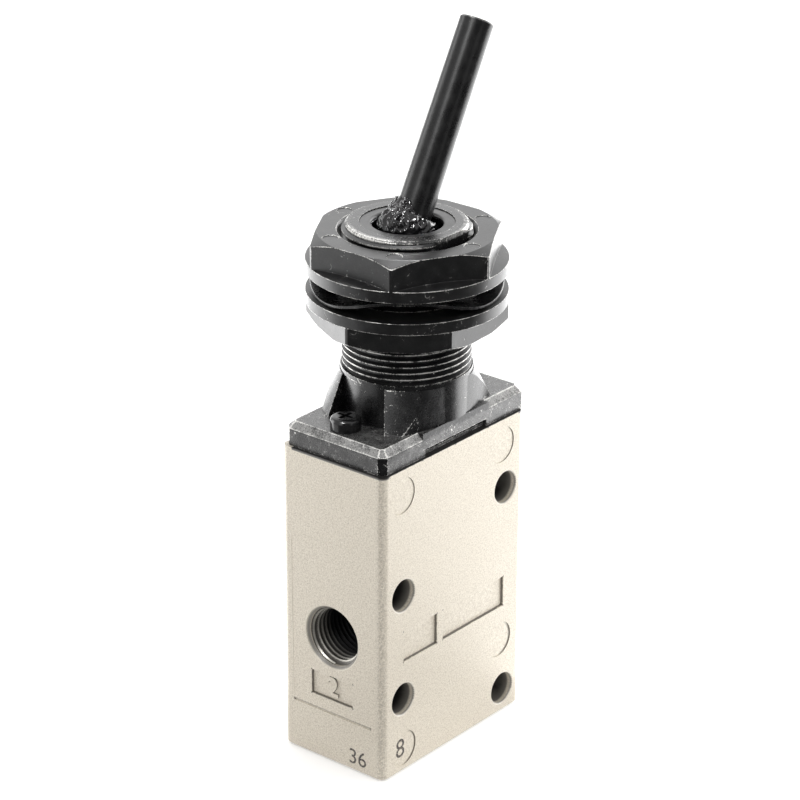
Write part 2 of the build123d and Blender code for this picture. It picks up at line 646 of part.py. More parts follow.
def flanged_nut(height):
    """Hexagon nut whose corners are turned to its flange's radius; the flange's face is at height 0."""
    corner_r = NUT_ACROSS_FLATS / math.sqrt(3.0)
    drop = (NUT_FLANGE_R - NUT_CHAMFER_R) * math.tan(math.radians(NUT_CHAMFER_ANGLE))
    turned = [
        (0, 0),
        (NUT_FLANGE_R, 0),
        (NUT_FLANGE_R, height - drop),
        (NUT_CHAMFER_R, height),
        (0, height),
    ]
    nut = extrude(RegularPolygon(corner_r, 6), height) & spun(turned)
    flange = [
        (0, 0),
        (NUT_FLANGE_R, 0),
        (NUT_FLANGE_R, NUT_RIM_HEIGHT),
        (NUT_ACROSS_FLATS / 2.0, NUT_FLANGE_HEIGHT),
        (0, NUT_FLANGE_HEIGHT),
    ]
    nut += spun(flange)
    bore_r = NECK_R + NUT_BORE_CLEARANCE
    bore = [
        (0, 0),
        (bore_r + NUT_COUNTERSINK, 0),
        (bore_r, NUT_COUNTERSINK),
        (bore_r, height - NUT_COUNTERSINK),
        (bore_r + NUT_COUNTERSINK, height),
        (0, height),
    ]
    nut -= spun(bore)
    mark = Cylinder(NUT_MARK_R, NUT_MARK_DEPTH, align=BASE)
    mark = Pos(NUT_MARK_CIRCLE_R, 0, height - NUT_MARK_DEPTH) * mark
    for index in range(6):
        nut -= Rot(0, 0, 60 * index) * mark
    return nut


def upper_nut():
    """Nut over the washer, flange down."""
    return ON_AXIS * Pos(0, 0, UPPER_NUT_Z) * Rot(0, 0, UPPER_NUT_TURN) * flanged_nut(UPPER_NUT_HEIGHT)


def lower_nut():
    """Thinner nut of the same kind under the washer, flange up."""
    nut = Rot(0, 0, LOWER_NUT_TURN) * Rot(180, 0, 0) * flanged_nut(LOWER_NUT_HEIGHT)
    return ON_AXIS * Pos(0, 0, LOWER_NUT_TOP) * nut


def wave_edge(radius, lift):
    """Closed wavy line of the washer at one radius."""
    swing = (WASHER_SPACE - WASHER_THICKNESS) / 2.0 - WASHER_SEAT_GAP
    count = WASHER_POINTS_PER_WAVE * WASHER_WAVES
    points = []
    for index in range(count):
        angle = 2.0 * math.pi * index / count
        wave = swing * math.cos(WASHER_WAVES * (angle - math.radians(WASHER_HIGH_ANGLE)))
        points.append((radius * math.cos(angle), radius * math.sin(angle), wave + lift))
    return Spline(*points, periodic=True)


def wave_washer():
    """Thin spring washer with three waves between the nuts."""
    half = WASHER_THICKNESS / 2.0
    corners = (
        (WASHER_INNER_R, -half),
        (WASHER_OUTER_R, -half),
        (WASHER_OUTER_R, half),
        (WASHER_INNER_R, half),
    )
    edges = [wave_edge(radius, lift).edge() for radius, lift in corners]
    faces = [
        Face.make_surface_from_curves(here, there) for here, there in zip(edges, edges[1:] + edges[:1])
    ]
    middle = LOWER_NUT_TOP + WASHER_SPACE / 2.0
    return ON_AXIS * Pos(0, 0, middle) * Solid(Shell(faces))


PARTS = {
    "valve_body": valve_body,
    "toggle_housing": toggle_housing,
    "housing_screws": housing_screws,
    "neck_ring": neck_ring,
    "pivot_pin": pivot_pin,
    "lever": lever,
    "dust_boot": dust_boot,
    "push_rod": push_rod,
    "rod_guide": rod_guide,
    "return_spring": return_spring,
    "plunger": plunger,
    "plunger_bush": plunger_bush,
    "plunger_seals": plunger_seals,
    "valve_seat": valve_seat,
    "poppet": poppet,
    "poppet_seal": poppet_seal,
    "poppet_spring": poppet_spring,
    "bottom_plug": bottom_plug,
    "plug_seal": plug_seal,
    "retaining_clips": retaining_clips,
    "upper_nut": upper_nut,
    "lower_nut": lower_nut,
    "wave_washer": wave_washer,
}

os.makedirs("parts", exist_ok=True)
for name, build in PARTS.items():
    export_step(build(), f"parts/{name}.step")
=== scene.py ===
"""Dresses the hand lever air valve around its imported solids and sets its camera, light and floor."""

import logging
import math
from dataclasses import dataclass
from enum import Enum
from typing import Callable, Iterable, Mapping, Union

import bmesh
import bpy
from mathutils import Matrix, Vector, kdtree, noise


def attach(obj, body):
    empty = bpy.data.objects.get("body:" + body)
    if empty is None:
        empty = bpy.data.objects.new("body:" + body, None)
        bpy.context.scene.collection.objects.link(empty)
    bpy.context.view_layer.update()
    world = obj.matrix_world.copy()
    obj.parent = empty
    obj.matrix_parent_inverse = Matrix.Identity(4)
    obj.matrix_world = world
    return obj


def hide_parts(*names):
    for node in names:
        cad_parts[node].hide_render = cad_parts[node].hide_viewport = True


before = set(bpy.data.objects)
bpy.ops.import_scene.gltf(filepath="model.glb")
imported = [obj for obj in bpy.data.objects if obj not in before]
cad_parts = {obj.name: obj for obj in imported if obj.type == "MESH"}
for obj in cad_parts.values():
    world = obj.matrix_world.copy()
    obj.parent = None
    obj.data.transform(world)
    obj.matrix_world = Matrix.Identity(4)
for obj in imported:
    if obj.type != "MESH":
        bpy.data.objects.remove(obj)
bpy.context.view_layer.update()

LOG = logging.getLogger("valve")

MM = 0.001

# All lengths below are in millimetres, in the valve's frame, unless a name says metres.
AXIS_X = 0.8
AXIS_Y = 0.2
HALF_LENGTH = 17.15
HALF_WIDTH = 10.15
MARK_R = 3.0
MARKS = ((-12.8, 47.5), (11.6, 47.5), (11.6, 13.4), (-12.3, 4.0))
REACH_MM = 1.5
SAMPLE_MM = 0.1
FONT_SIZE_PER_HEIGHT = 1.38

Span = tuple[float, float]
Place = tuple[float, float, float]
Colour = tuple[float, float, float]
Material = bpy.types.Material
Socket = bpy.types.NodeSocket
Feed = Union["Signal", Socket, float, Colour]


class Body(Enum):
    """The rigid bodies that dressed pieces ride on."""

    VALVE = "valve"
    TOGGLE = "toggle"
    PANEL_NUT = "panel_nut"
    BACK_NUT = "back_nut"


class Facing(Enum):
    """The two narrow sides of the valve body that carry a port."""

    OUTLET = -1
    INLET = 1


class Layer(Enum):
    """Vertex layers: how near the worn ridges and creases are, and where a piece is rubbed or given
    painted shade or sheen.
    """

    RIDGE = "ridge"
    CREASE = "crease"
    # Rubbed wear, and the painted shade or sheen that a piece's own rule puts there.
    RUB = "rub"


def clamp(value: float) -> float:
    """Keeps a share between 0 and 1."""
    return min(1.0, max(0.0, value))


def mesh_of(name: str, bm: bmesh.types.BMesh) -> bpy.types.Mesh:
    """Writes a bmesh into a new mesh.

    Args:
        name: name of the mesh.
        bm: the bmesh, which is used up.

    Returns:
        The mesh.
    """
    mesh = bpy.data.meshes.new(name)
    bm.to_mesh(mesh)
    bm.free()
    return mesh


def add_object(name: str, data: bpy.types.ID | None) -> bpy.types.Object:
    """Puts a new object into the scene.

    Args:
        name: name of the object.
        data: its mesh, curve, lamp or camera.

    Returns:
        The object.
    """
    made = bpy.data.objects.new(name, data)
    bpy.context.scene.collection.objects.link(made)
    return made


# Shader maths


class Signal:
    """A value socket that takes part in arithmetic."""

    def __init__(self, nodes: "Nodes", socket: Socket) -> None:
        """Keeps the node tree that the socket belongs to and the socket itself."""
        self.nodes = nodes
        self.socket = socket

    def _with(self, operation: str, first: Feed, second: Feed) -> "Signal":
        """Adds one Math node for two operands and returns its result."""
        settings = {"operation": operation}
        return self.nodes.value("ShaderNodeMath", settings, {0: first, 1: second})

    def __add__(self, other: Feed) -> "Signal":
        """Sum with another value."""
        return self._with("ADD", self, other)

    def __sub__(self, other: Feed) -> "Signal":
        """Difference from another value."""
        return self._with("SUBTRACT", self, other)

    def __rsub__(self, other: Feed) -> "Signal":
        """Difference from a value on the left."""
        return self._with("SUBTRACT", other, self)

    def __mul__(self, other: Feed) -> "Signal":
        """Product with another value."""
        return self._with("MULTIPLY", self, other)

    def most(self, other: Feed) -> "Signal":
        """The larger of this value and another."""
        return self._with("MAXIMUM", self, other)

    def step(self, low: float, high: float) -> "Signal":
        """Smooth step from 0 at low to 1 at high.

        Args:
            low: value that gives 0.
            high: value that gives 1.

        Returns:
            The stepped value, kept between 0 and 1.
        """
        settings = {"interpolation_type": "SMOOTHSTEP"}
        return self.nodes.value(
            "ShaderNodeMapRange", settings, {"Value": self, "From Min": low, "From Max": high}
        )


class Nodes:
    """A node tree with short ways to add and feed its nodes."""

    def __init__(self, tree: bpy.types.NodeTree) -> None:
        """Empties the tree and keeps it."""
        self.tree = tree
        self.tree.nodes.clear()

    def node(
        self,
        kind: str,
        settings: Mapping[str, object] | None = None,
        inputs: Mapping[str | int, Feed] | None = None,
    ) -> bpy.types.Node:
        """Adds a node, sets it up and feeds its inputs.

        Args:
            kind: Blender's type name of the node.
            settings: properties that are set before any input.
            inputs: value or link of each input, by name or place.

        Returns:
            The new node.
        """
        node = self.tree.nodes.new(kind)
        for key, value in (settings or {}).items():
            setattr(node, key, value)
        for key, value in (inputs or {}).items():
            self.feed(node.inputs[key], value)
        return node

    def feed(self, socket: Socket, value: Feed) -> None:
        """Links a socket or sets its value.

        Args:
            socket: the input that is fed.
            value: a signal, an output socket, a number or a colour.
        """
        if isinstance(value, Signal):
            value = value.socket
        if isinstance(value, Socket):
            self.tree.links.new(value, socket)
        elif socket.type == "RGBA" and len(value) == 3:
            socket.default_value = (*value, 1.0)
        else:
            socket.default_value = value

    def value(
        self, kind: str, settings: Mapping[str, object], inputs: Mapping[str | int, Feed],
        out: str | int = 0,
    ) -> Signal:
        """Adds a node and returns one of its outputs as a signal."""
        return Signal(self, self.node(kind, settings, inputs).outputs[out])

    def seen(self) -> Signal:
        """1 for the rays of the camera, gloss and glass, and 0 for those that only light."""
        path = self.node("ShaderNodeLightPath").outputs
        camera = Signal(self, path["Is Camera Ray"])
        return camera.most(path["Is Glossy Ray"]).most(path["Is Transmission Ray"])


class Shader(Nodes):
    """Node tree of one material around its Principled surface."""

    def __init__(self, name: str) -> None:
        """Makes an empty material whose surface is one Principled shader.

        Args:
            name: name of the material.
        """
        self.material = bpy.data.materials.new(name)
        self.material.use_nodes = True
        super().__init__(self.material.node_tree)
        self.surface = self.node("ShaderNodeBsdfPrincipled")
        self.node("ShaderNodeOutputMaterial", {}, {"Surface": self.surface.outputs[0]})

    def place(self) -> Socket:
        """The Object coordinates, in metres of the valve's frame."""
        return self.node("ShaderNodeTexCoord").outputs["Object"]

    def on_axis(self) -> Socket:
        """Object coordinates counted from the working axis, in metres."""
        inputs = {"Vector": self.place(), "Location": (-AXIS_X * MM, -AXIS_Y * MM, 0.0)}
        return self.node("ShaderNodeMapping", {"vector_type": "POINT"}, inputs).outputs[0]

    def grain(self, size: float, detail: float = 2.0, rough: float = 0.5) -> Signal:
        """Noise whose blotches measure about a size.

        Args:
            size: size of a blotch in millimetres.
            detail: number of finer octaves.
            rough: weight of the finer octaves.

        Returns:
            The noise, about 0.5 on average.
        """
        inputs = {
            "Vector": self.place(), "Scale": 1.0 / (size * MM), "Detail": detail, "Roughness": rough,
        }
        return self.value("ShaderNodeTexNoise", {"noise_dimensions": "3D"}, inputs)

    def specks(self, spacing: float, radius: float) -> Signal:
        """Small round specks at random places.

        Args:
            spacing: mean distance between specks in millimetres.
            radius: share of the spacing that a speck's radius takes.

        Returns:
            1 inside a speck and 0 outside.
        """
        inputs = {"Vector": self.place(), "Scale": 1.0 / (spacing * MM), "Randomness": 1.0}
        distance = self.value("ShaderNodeTexVoronoi", {"feature": "F1"}, inputs, "Distance")
        return distance.step(radius, radius * 0.55)

    def hairlines(self, size: float, width: float = 0.012) -> Signal:
        """Short curved scratches.

        Args:
            size: size of their curves in millimetres.
            width: width of a scratch, as a share of the range of its noise.

        Returns:
            1 on a scratch and 0 beside it.
        """
        away = self.grain(size, 1.0) - 0.5
        line = (away * away).step(width * width, width * width * 0.2)
        return line * self.grain(size * 0.45, 1.0).step(0.54, 0.60)

    def near(self, layer: Layer) -> Signal:
        """One layer of the piece: 1 on its lines and 0 from REACH_MM on."""
        return self.value("ShaderNodeAttribute", {"attribute_name": layer.value}, {}, "Fac")

    def gap(self, layer: Layer) -> Signal:
        """Distance from the nearest line of a layer, in millimetres."""
        return (1.0 - self.near(layer)) * REACH_MM

    def along(self, axis: str) -> Signal:
        """One Object coordinate in millimetres."""
        parts = self.node("ShaderNodeSeparateXYZ", {}, {0: self.place()})
        return Signal(self, parts.outputs[axis]) * (1.0 / MM)

    def blend(self, first: Feed, second: Feed, share: Feed) -> Socket:
        """Mixes two colours.

        Args:
            first: colour where the share is 0.
            second: colour where the share is 1.
            share: how much of the second colour shows.

        Returns:
            The colour socket of the mix.
        """
        node = self.node("ShaderNodeMix", {"data_type": "RGBA"}, {0: share})
        self.feed(node.inputs[6], first)
        self.feed(node.inputs[7], second)
        return node.outputs[2]

    def relief(self, height: Feed, depth: float, strength: float = 1.0) -> Socket:
        """Normal of a surface with a fine relief.

        Args:
            height: the relief, from 0 to 1.
            depth: height of 1 in millimetres.
            strength: how much of the relief shows.

        Returns:
            The normal for the Normal socket.
        """
        inputs = {"Height": height, "Distance": depth * MM, "Strength": strength}
        return self.node("ShaderNodeBump", {}, inputs).outputs[0]

    def dress(self, **inputs: Feed) -> Material:
        """Feeds the Principled surface.

        Args:
            inputs: what each input gets, by its name with underscores.

        Returns:
            The finished material.
        """
        for key, value in inputs.items():
            self.feed(self.surface.inputs[key.replace("_", " ")], value)
        return self.material


# Finishes


@dataclass(frozen=True)
class CastFinish:
    """Champagne coat on die cast metal: a sandy sparkle, dark specks, bare metal in the bores and
    painted shade in its creases and hollows.
    """

    name: str = "champagne_cast"
    colour: Colour = (0.740, 0.680, 0.575)
    shade: Colour = (0.540, 0.480, 0.390)
    # Dark of the specks, and of the painted shade in creases, beside the sunk marks and down the front
    # edge.
    specks_and_painted_shade: Colour = (0.110, 0.092, 0.070)
    light: Colour = (0.880, 0.840, 0.760)
    # Bores show bare metal, then painted shade deeper in.
    bare: Colour = (0.200, 0.188, 0.170)
    deep: Colour = (0.012, 0.011, 0.010)
    roughness: float = 0.46
    crescent_widths: tuple[float, ...] = (0.10, 0.14, 0.34, 0.22)

    def crescents(self, shader: Shader) -> Signal:
        """Shade along the inner right edge of the sunk round marks.

        Args:
            shader: the shader that is being built.

        Returns:
            1 in the shade and 0 elsewhere.
        """
        across, up = shader.along("X"), shader.along("Z")
        front = shader.along("Y").step(-9.3, -9.8)
        shade = front * 0.0
        for (middle_x, middle_z), width in zip(MARKS, self.crescent_widths):
            x, z = across - middle_x, up - middle_z
            reach = x * x + z * z
            ring = reach.step((MARK_R - 1.6 * width) ** 2, (MARK_R - 0.5 * width) ** 2)
            ring = ring * reach.step(MARK_R ** 2 + 0.25, MARK_R ** 2)
            shade = shade.most(ring * (x - z * 0.25).step(0.2, 2.6))
        return shade * front

    def material(self) -> Material:
        """Builds the coat.

        Returns:
            The material.
        """
        shader = Shader(self.name)
        sand = shader.grain(0.10, 1.0, 0.6)
        coarse = shader.grain(0.26, 2.0, 0.6)
        speckle = sand * 0.5 + coarse * 0.5
        colour = shader.blend(self.shade, self.colour, speckle.step(0.37, 0.56))
        colour = shader.blend(colour, self.light, coarse.step(0.58, 0.72) * 0.55)
        colour = shader.blend(colour, self.specks_and_painted_shade, shader.specks(1.15, 0.085) * 0.45)
        # Painted shade, broken by coarse grain, down the rounded front vertical edge.
        corner_x = (-HALF_LENGTH - shader.along("X")).step(-1.3, -0.1)
        corner_y = (-HALF_WIDTH - shader.along("Y")).step(-1.9, -0.5)
        corner_shade_and_grain = corner_x * corner_y * shader.grain(0.33, 2.0, 0.7).step(0.40, 0.60)
        colour = shader.blend(colour, self.specks_and_painted_shade, corner_shade_and_grain * 0.30)
        ridge = (shader.gap(Layer.RIDGE) + coarse * 0.3).step(0.26, 0.10)
        colour = shader.blend(colour, self.light, ridge * 0.5)
        # Painted shade: darker along concave edges and along the inner right edge of the sunk round
        # marks.
        crease = (shader.gap(Layer.CREASE) + coarse * 0.12).step(0.32, 0.10)
        colour = shader.blend(colour, self.specks_and_painted_shade, (crease * 0.82).most(self.crescents(shader) * 0.80))
        # Bare metal in the bores turning to painted shade deeper in; this layer also brings painted
        # shade to the panel walls, the numbers' feet and the joint under the plate.
        bore = shader.near(Layer.RUB)
        colour = shader.blend(colour, self.bare, bore.step(0.01, 0.10))
        colour = shader.blend(colour, self.deep, bore.step(0.02, 0.50))
        relief = sand * 0.45 + coarse * 0.55
        return shader.dress(
            Base_Color=colour,
            Metallic=coarse.step(0.45, 0.75) * 0.16 + 0.04,
            Roughness=coarse * 0.16 + (self.roughness - 0.08),
            Normal=shader.relief(relief, 0.045, 0.55),
        )


@dataclass(frozen=True)
class BlackFinish:
    """Satin black coat on metal, with broken bright edges, flecks and short scratches."""

    name: str
    colour: Colour = (0.0045, 0.0045, 0.0048)
    haze: Colour = (0.012, 0.012, 0.0122)
    film_and_sheen: Colour = (0.420, 0.415, 0.405)
    metal: Colour = (0.74, 0.73, 0.70)
    roughness: float = 0.34
    patch_mm: float = 1.9
    grit_mm: float = 0.20
    fleck_mm: float = 0.42
    scratch_mm: float = 1.8
    worn_mm: float = 0.13
    worn_bias: float = 0.35
    broken: float = 1.0
    shine: float = 0.7
    flecked: float = 0.5
    scratched: float = 0.5
    relief_mm: float = 0.03
    gloss: float = 0.5

    def material(self) -> Material:
        """Builds the coat with its worn edges, flecks and scratches.

        Returns:
            The material.
        """
        shader = Shader(self.name)
        patch = shader.grain(self.patch_mm, 2.0, 0.6)
        fine = shader.grain(self.grit_mm, 2.0, 0.65)
        rub = shader.near(Layer.RUB)
        nearness = (shader.gap(Layer.RIDGE) * (-1.0 / self.worn_mm)) + rub * 0.8 + self.worn_bias
        chance = (patch - 0.5) * (2.2 * self.broken) + (fine - 0.5) * (2.4 * self.broken)
        edge = (nearness + chance).step(0.0, 0.45) * self.shine
        amount = patch * 0.7 + fine * 0.3 + rub * 0.25 + shader.near(Layer.RIDGE) * 0.10
        flecks = shader.specks(self.fleck_mm, 0.19) * amount.step(0.66 - 0.1 * self.flecked, 0.72)
        lines = shader.hairlines(self.scratch_mm) * amount.step(0.64 - 0.12 * self.scratched, 0.68)
        bare = edge.most(flecks * self.flecked).most(lines * self.scratched)
        colour = shader.blend(self.colour, self.haze, (patch * 0.5 + fine * 0.5).step(0.42, 0.66))
        # A paler rubbed film; on the plate's chamfers and the skirt's sides it is painted sheen.
        colour = shader.blend(colour, self.film_and_sheen, rub * (patch * 0.4 + fine * 0.6).step(0.28, 0.62))
        colour = shader.blend(colour, self.metal, bare)
        relief = fine * 0.6 + shader.grain(0.7, 2.0) * 0.4 - bare * 0.3
        return shader.dress(
            Base_Color=colour,
            Metallic=bare * 0.6,
            Specular_IOR_Level=self.gloss,
            Roughness=patch * 0.14 + fine * 0.10 + (self.roughness - 0.12),
            Normal=shader.relief(relief, self.relief_mm, 0.6),
        )


@dataclass(frozen=True)
class RubberFinish:
    """Black rubber, from dull seal rings to a wet looking boot."""

    name: str
    colour: Colour = (0.006, 0.006, 0.0065)
    pale: Colour = (0.020, 0.020, 0.020)
    roughness: float = 0.5
    wrinkle_mm: float = 0.9
    relief_mm: float = 0.05

    def material(self) -> Material:
        """Builds the rubber with its fine wrinkles.

        Returns:
            The material.
        """
        shader = Shader(self.name)
        wrinkle = shader.grain(self.wrinkle_mm, 3.0, 0.6)
        fine = shader.grain(self.wrinkle_mm * 0.3, 2.0)
        return shader.dress(
            Base_Color=shader.blend(self.colour, self.pale, wrinkle.step(0.5, 0.8)),
            Roughness=fine * 0.14 + (self.roughness - 0.07),
            IOR=1.5,
            Normal=shader.relief(wrinkle * 0.6 + fine * 0.4, self.relief_mm, 0.8),
        )


@dataclass(frozen=True)
class TurnedFinish:
    """Bare metal turned or ground round the working axis, with fine tool rings."""

    name: str
    colour: Colour
    shade: Colour
    roughness: float = 0.28
    ring_mm: float = 0.16
    metallic: float = 1.0

    def material(self) -> Material:
        """Builds the metal with rings that follow the working axis.

        Returns:
            The material.
        """
        shader = Shader(self.name)
        settings = {"wave_type": "RINGS", "rings_direction": "Z", "wave_profile": "SIN"}
        inputs = {
            "Vector": shader.on_axis(), "Scale": 0.32 / (self.ring_mm * MM),
            "Distortion": 0.4, "Detail": 2.0,
        }
        rings = shader.value("ShaderNodeTexWave", settings, inputs, "Fac")
        cloud = shader.grain(1.5, 3.0)
        colour = shader.blend(self.shade, self.colour, (rings * 0.25 + cloud).step(0.3, 0.8))
        # Painted shade: darker near concave edges.
        colour = shader.blend(colour, self.shade, shader.near(Layer.CREASE).step(0.7, 1.0))
        return shader.dress(
            Base_Color=colour,
            Metallic=self.metallic,
            Roughness=cloud * 0.18 + rings * 0.08 + (self.roughness - 0.12),
            Normal=shader.relief(rings, 0.006, 0.5),
        )


@dataclass(frozen=True)
class PortFinish:
    """Cut metal of a port's thread: a painted highlight on its crests, painted shade on its flanks and
    painted shade deeper in the bore.
    """

    name: str = "cut_port_thread"
    # Painted highlight on the crests, painted shade on the flanks and deep in the port.
    crest: Colour = (0.52, 0.50, 0.45)
    shaded_flank: Colour = (0.10, 0.092, 0.080)
    deep: Colour = (0.006, 0.006, 0.006)
    roughness: float = 0.38

    def material(self) -> Material:
        """Builds the cut metal.

        Returns:
            The material.
        """
        shader = Shader(self.name)
        fine = shader.grain(0.18, 2.0, 0.6)
        across = shader.along("X")
        depth = HALF_LENGTH - across.most(across * -1.0)
        # Painted highlight along the crests, fading to painted shade deeper in.
        crest = (shader.gap(Layer.RIDGE) + (fine - 0.5) * 0.35).step(0.26, 0.04)
        colour = shader.blend(self.shaded_flank, self.crest, crest)
        colour = shader.blend(colour, self.deep, depth.step(0.6, 5.4))
        return shader.dress(
            Base_Color=colour,
            Metallic=crest * 0.5 + 0.3,
            Roughness=fine * 0.2 + (self.roughness - 0.1),
            Normal=shader.relief(fine, 0.02, 0.5),
        )


@dataclass(frozen=True)
class InkFinish:
    """Dark printed figures whose ink has worn thin on the sandy coat."""

    name: str = "stamped_ink"
    ink: Colour = (0.060, 0.050, 0.045)
    thin: Colour = (0.330, 0.290, 0.240)

    def material(self) -> Material:
        """Builds the ink.

        Returns:
            The material.
        """
        shader = Shader(self.name)
        grit = shader.grain(0.22, 2.0, 0.6)
        return shader.dress(
            Base_Color=shader.blend(self.ink, self.thin, grit.step(0.50, 0.68)),
            Roughness=grit * 0.2 + 0.5,
            Normal=shader.relief(grit, 0.02, 0.5),
        )


# Mesh tools


class Blank:
    """A bmesh in millimetres on its way to being one finished piece."""

    def __init__(self) -> None:
        """Starts an empty blank with its layers."""
        self.bm = bmesh.new()
        for layer in Layer:
            self.bm.verts.layers.float.new(layer.value)
        self.lines: dict[Layer, list[Vector]] = {Layer.RIDGE: [], Layer.CREASE: []}
        self.shading = None

    @classmethod
    def from_mesh(cls, mesh: bpy.types.Mesh) -> "Blank":
        """Copies a mesh into a new blank.

        Args:
            mesh: the mesh, whose own units stay.

        Returns:
            The new blank.
        """
        blank = cls()
        blank.bm.from_mesh(mesh)
        return blank

    @classmethod
    def from_node(cls, node: str) -> "Blank":
        """Copies a CAD node's mesh with its loose triangles merged.

        Args:
            node: name of the CAD node.

        Returns:
            The copy, with its flat faces joined.
        """
        blank = cls.from_mesh(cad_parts[node].data)
        bmesh.ops.scale(blank.bm, vec=(1.0 / MM,) * 3, verts=blank.bm.verts)
        bmesh.ops.remove_doubles(blank.bm, verts=blank.bm.verts, dist=0.002)
        bmesh.ops.dissolve_limit(
            blank.bm, angle_limit=math.radians(0.5), verts=blank.bm.verts, edges=blank.bm.edges
        )
        return blank

    @classmethod
    def spun(cls, outline: Iterable[Span], steps: int) -> "Blank":
        """Spins a closed (radius, height) outline a full turn about the Z axis.

        Args:
            outline: corners of the closed outline, in order.
            steps: facets round the axis.

        Returns:
            The closed solid of revolution.
        """
        blank = cls()
        bmesh.ops.spin(
            blank.bm, geom=blank.section(outline), cent=(0, 0, 0), axis=(0, 0, 1), dvec=(0, 0, 0),
            angle=math.tau, steps=steps, use_merge=True, use_duplicate=False,
        )
        bmesh.ops.remove_doubles(blank.bm, verts=blank.bm.verts, dist=0.0005)
        bmesh.ops.recalc_face_normals(blank.bm, faces=blank.bm.faces)
        return blank

    def section(self, outline: Iterable[Span]) -> list[bmesh.types.BMVert | bmesh.types.BMEdge]:
        """Adds a closed outline beside the Z axis, to be spun or swept.

        Args:
            outline: (radius, height) of its corners, in order.

        Returns:
            Its points and edges.
        """
        verts = [self.bm.verts.new((radius, 0.0, height)) for radius, height in outline]
        return verts + [self.bm.edges.new(pair) for pair in zip(verts, verts[1:] + verts[:1])]

    def layer(self, layer: Layer) -> bmesh.types.BMLayerItem:
        """The bmesh layer that holds one of the wear layers."""
        return self.bm.verts.layers.float[layer.value]

    def soften(
        self, width: float, angle_deg: float = 24.0, unworn: Callable[[Vector], bool] | None = None,
    ) -> "Blank":
        """Rounds every sharp edge a little, and marks how near each point is to those edges.

        Args:
            width: width that the round takes from each face, in millimetres.
            angle_deg: faces that meet at a larger angle than this make a sharp edge.
            unworn: tells of a place whether an edge there stays out of the marks.

        Returns:
            The blank itself.
        """
        limit = math.radians(angle_deg)
        joined = (edge for edge in self.bm.edges if edge.is_manifold)
        sharp = [edge for edge in joined if edge.calc_face_angle() > limit]
        for edge in sharp:
            start, end = (vert.co.copy() for vert in edge.verts)
            if unworn is None or not unworn((start + end) * 0.5):
                line = self.lines[Layer.RIDGE if edge.is_convex else Layer.CREASE]
                count = max(1, math.ceil((end - start).length / SAMPLE_MM))
                line.extend(start.lerp(end, index / count) for index in range(count + 1))
        bmesh.ops.bevel(
            self.bm, geom=sharp, offset=width, offset_type="OFFSET", segments=2, profile=0.5,
            affect="EDGES", clamp_overlap=True, material=-1,
        )
        self.bm.normal_update()
        self._keep_shading()
        self._spread()
        return self

    def _keep_shading(self) -> None:
        """Writes each point's area weighted normal, which later points are given a share of."""
        self.shading = self.bm.verts.layers.float_vector.new("shading")
        for vert in self.bm.verts:
            total = sum((face.normal * face.calc_area() for face in vert.link_faces), Vector())
            vert[self.shading] = total.normalized()

    def _spread(self, finest: float = 0.45, coarsest: float = 3.0, passes: int = 9) -> None:
        """Divides the faces finely near the lines and writes each point's nearness to them.

        Args:
            finest: length of an edge at a line, in millimetres.
            coarsest: length of an edge far from any line.
            passes: most times that an edge is halved.
        """
        trees = {}
        for layer, line in self.lines.items():
            if line:
                trees[layer] = kdtree.KDTree(len(line))
                for index, spot in enumerate(line):
                    trees[layer].insert(spot, index)
                trees[layer].balance()
        bmesh.ops.triangulate(self.bm, faces=[face for face in self.bm.faces if len(face.verts) > 3])
        fresh = list(self.bm.edges)
        for _ in range(passes):
            long_edges = []
            for edge in fresh:
                length = edge.calc_length()
                if length > finest:
                    middle = (edge.verts[0].co + edge.verts[1].co) * 0.5
                    gap = min((tree.find(middle)[2] for tree in trees.values()), default=coarsest)
                    if length > max(finest, min(coarsest, 0.6 * gap)):
                        long_edges.append(edge)
            if not long_edges:
                break
            made = bmesh.ops.subdivide_edges(self.bm, edges=long_edges, cuts=1)["geom"]
            faces = (item for item in made if isinstance(item, bmesh.types.BMFace))
            split = bmesh.ops.triangulate(self.bm, faces=[face for face in faces if len(face.verts) > 3])
            fresh = {item for item in made if isinstance(item, bmesh.types.BMEdge) and item.is_valid}
            fresh.update(split["edges"])
        bmesh.ops.triangulate(self.bm, faces=[face for face in self.bm.faces if len(face.verts) > 3])
        for layer, tree in trees.items():
            item = self.layer(layer)
            for vert in self.bm.verts:
                vert[item] = max(0.0, 1.0 - tree.find(vert.co)[2] / REACH_MM)

    def rub(self, share: Callable[[Vector, Vector], float]) -> "Blank":
        """Writes how rubbed or how deep each point is, and where it gets painted shade or sheen.

        Args:
            share: gives the share from a point's place and its normal.

        Returns:
            The blank itself.
        """
        item = self.layer(Layer.RUB)
        for vert in self.bm.verts:
            vert[item] = share(vert.co, vert[self.shading] if self.shading else vert.normal)
        return self

    def shape(self, move: Callable[[Vector], Vector]) -> "Blank":
        """Moves every point to where a rule puts it.

        Args:
            move: gives the new place of a point.

        Returns:
            The blank itself.
        """
        for vert in self.bm.verts:
            vert.co = move(vert.co.copy())
        return self

    def place(self, matrix: Matrix) -> "Blank":
        """Transforms the whole blank."""
        bmesh.ops.transform(self.bm, matrix=matrix, verts=self.bm.verts)
        return self

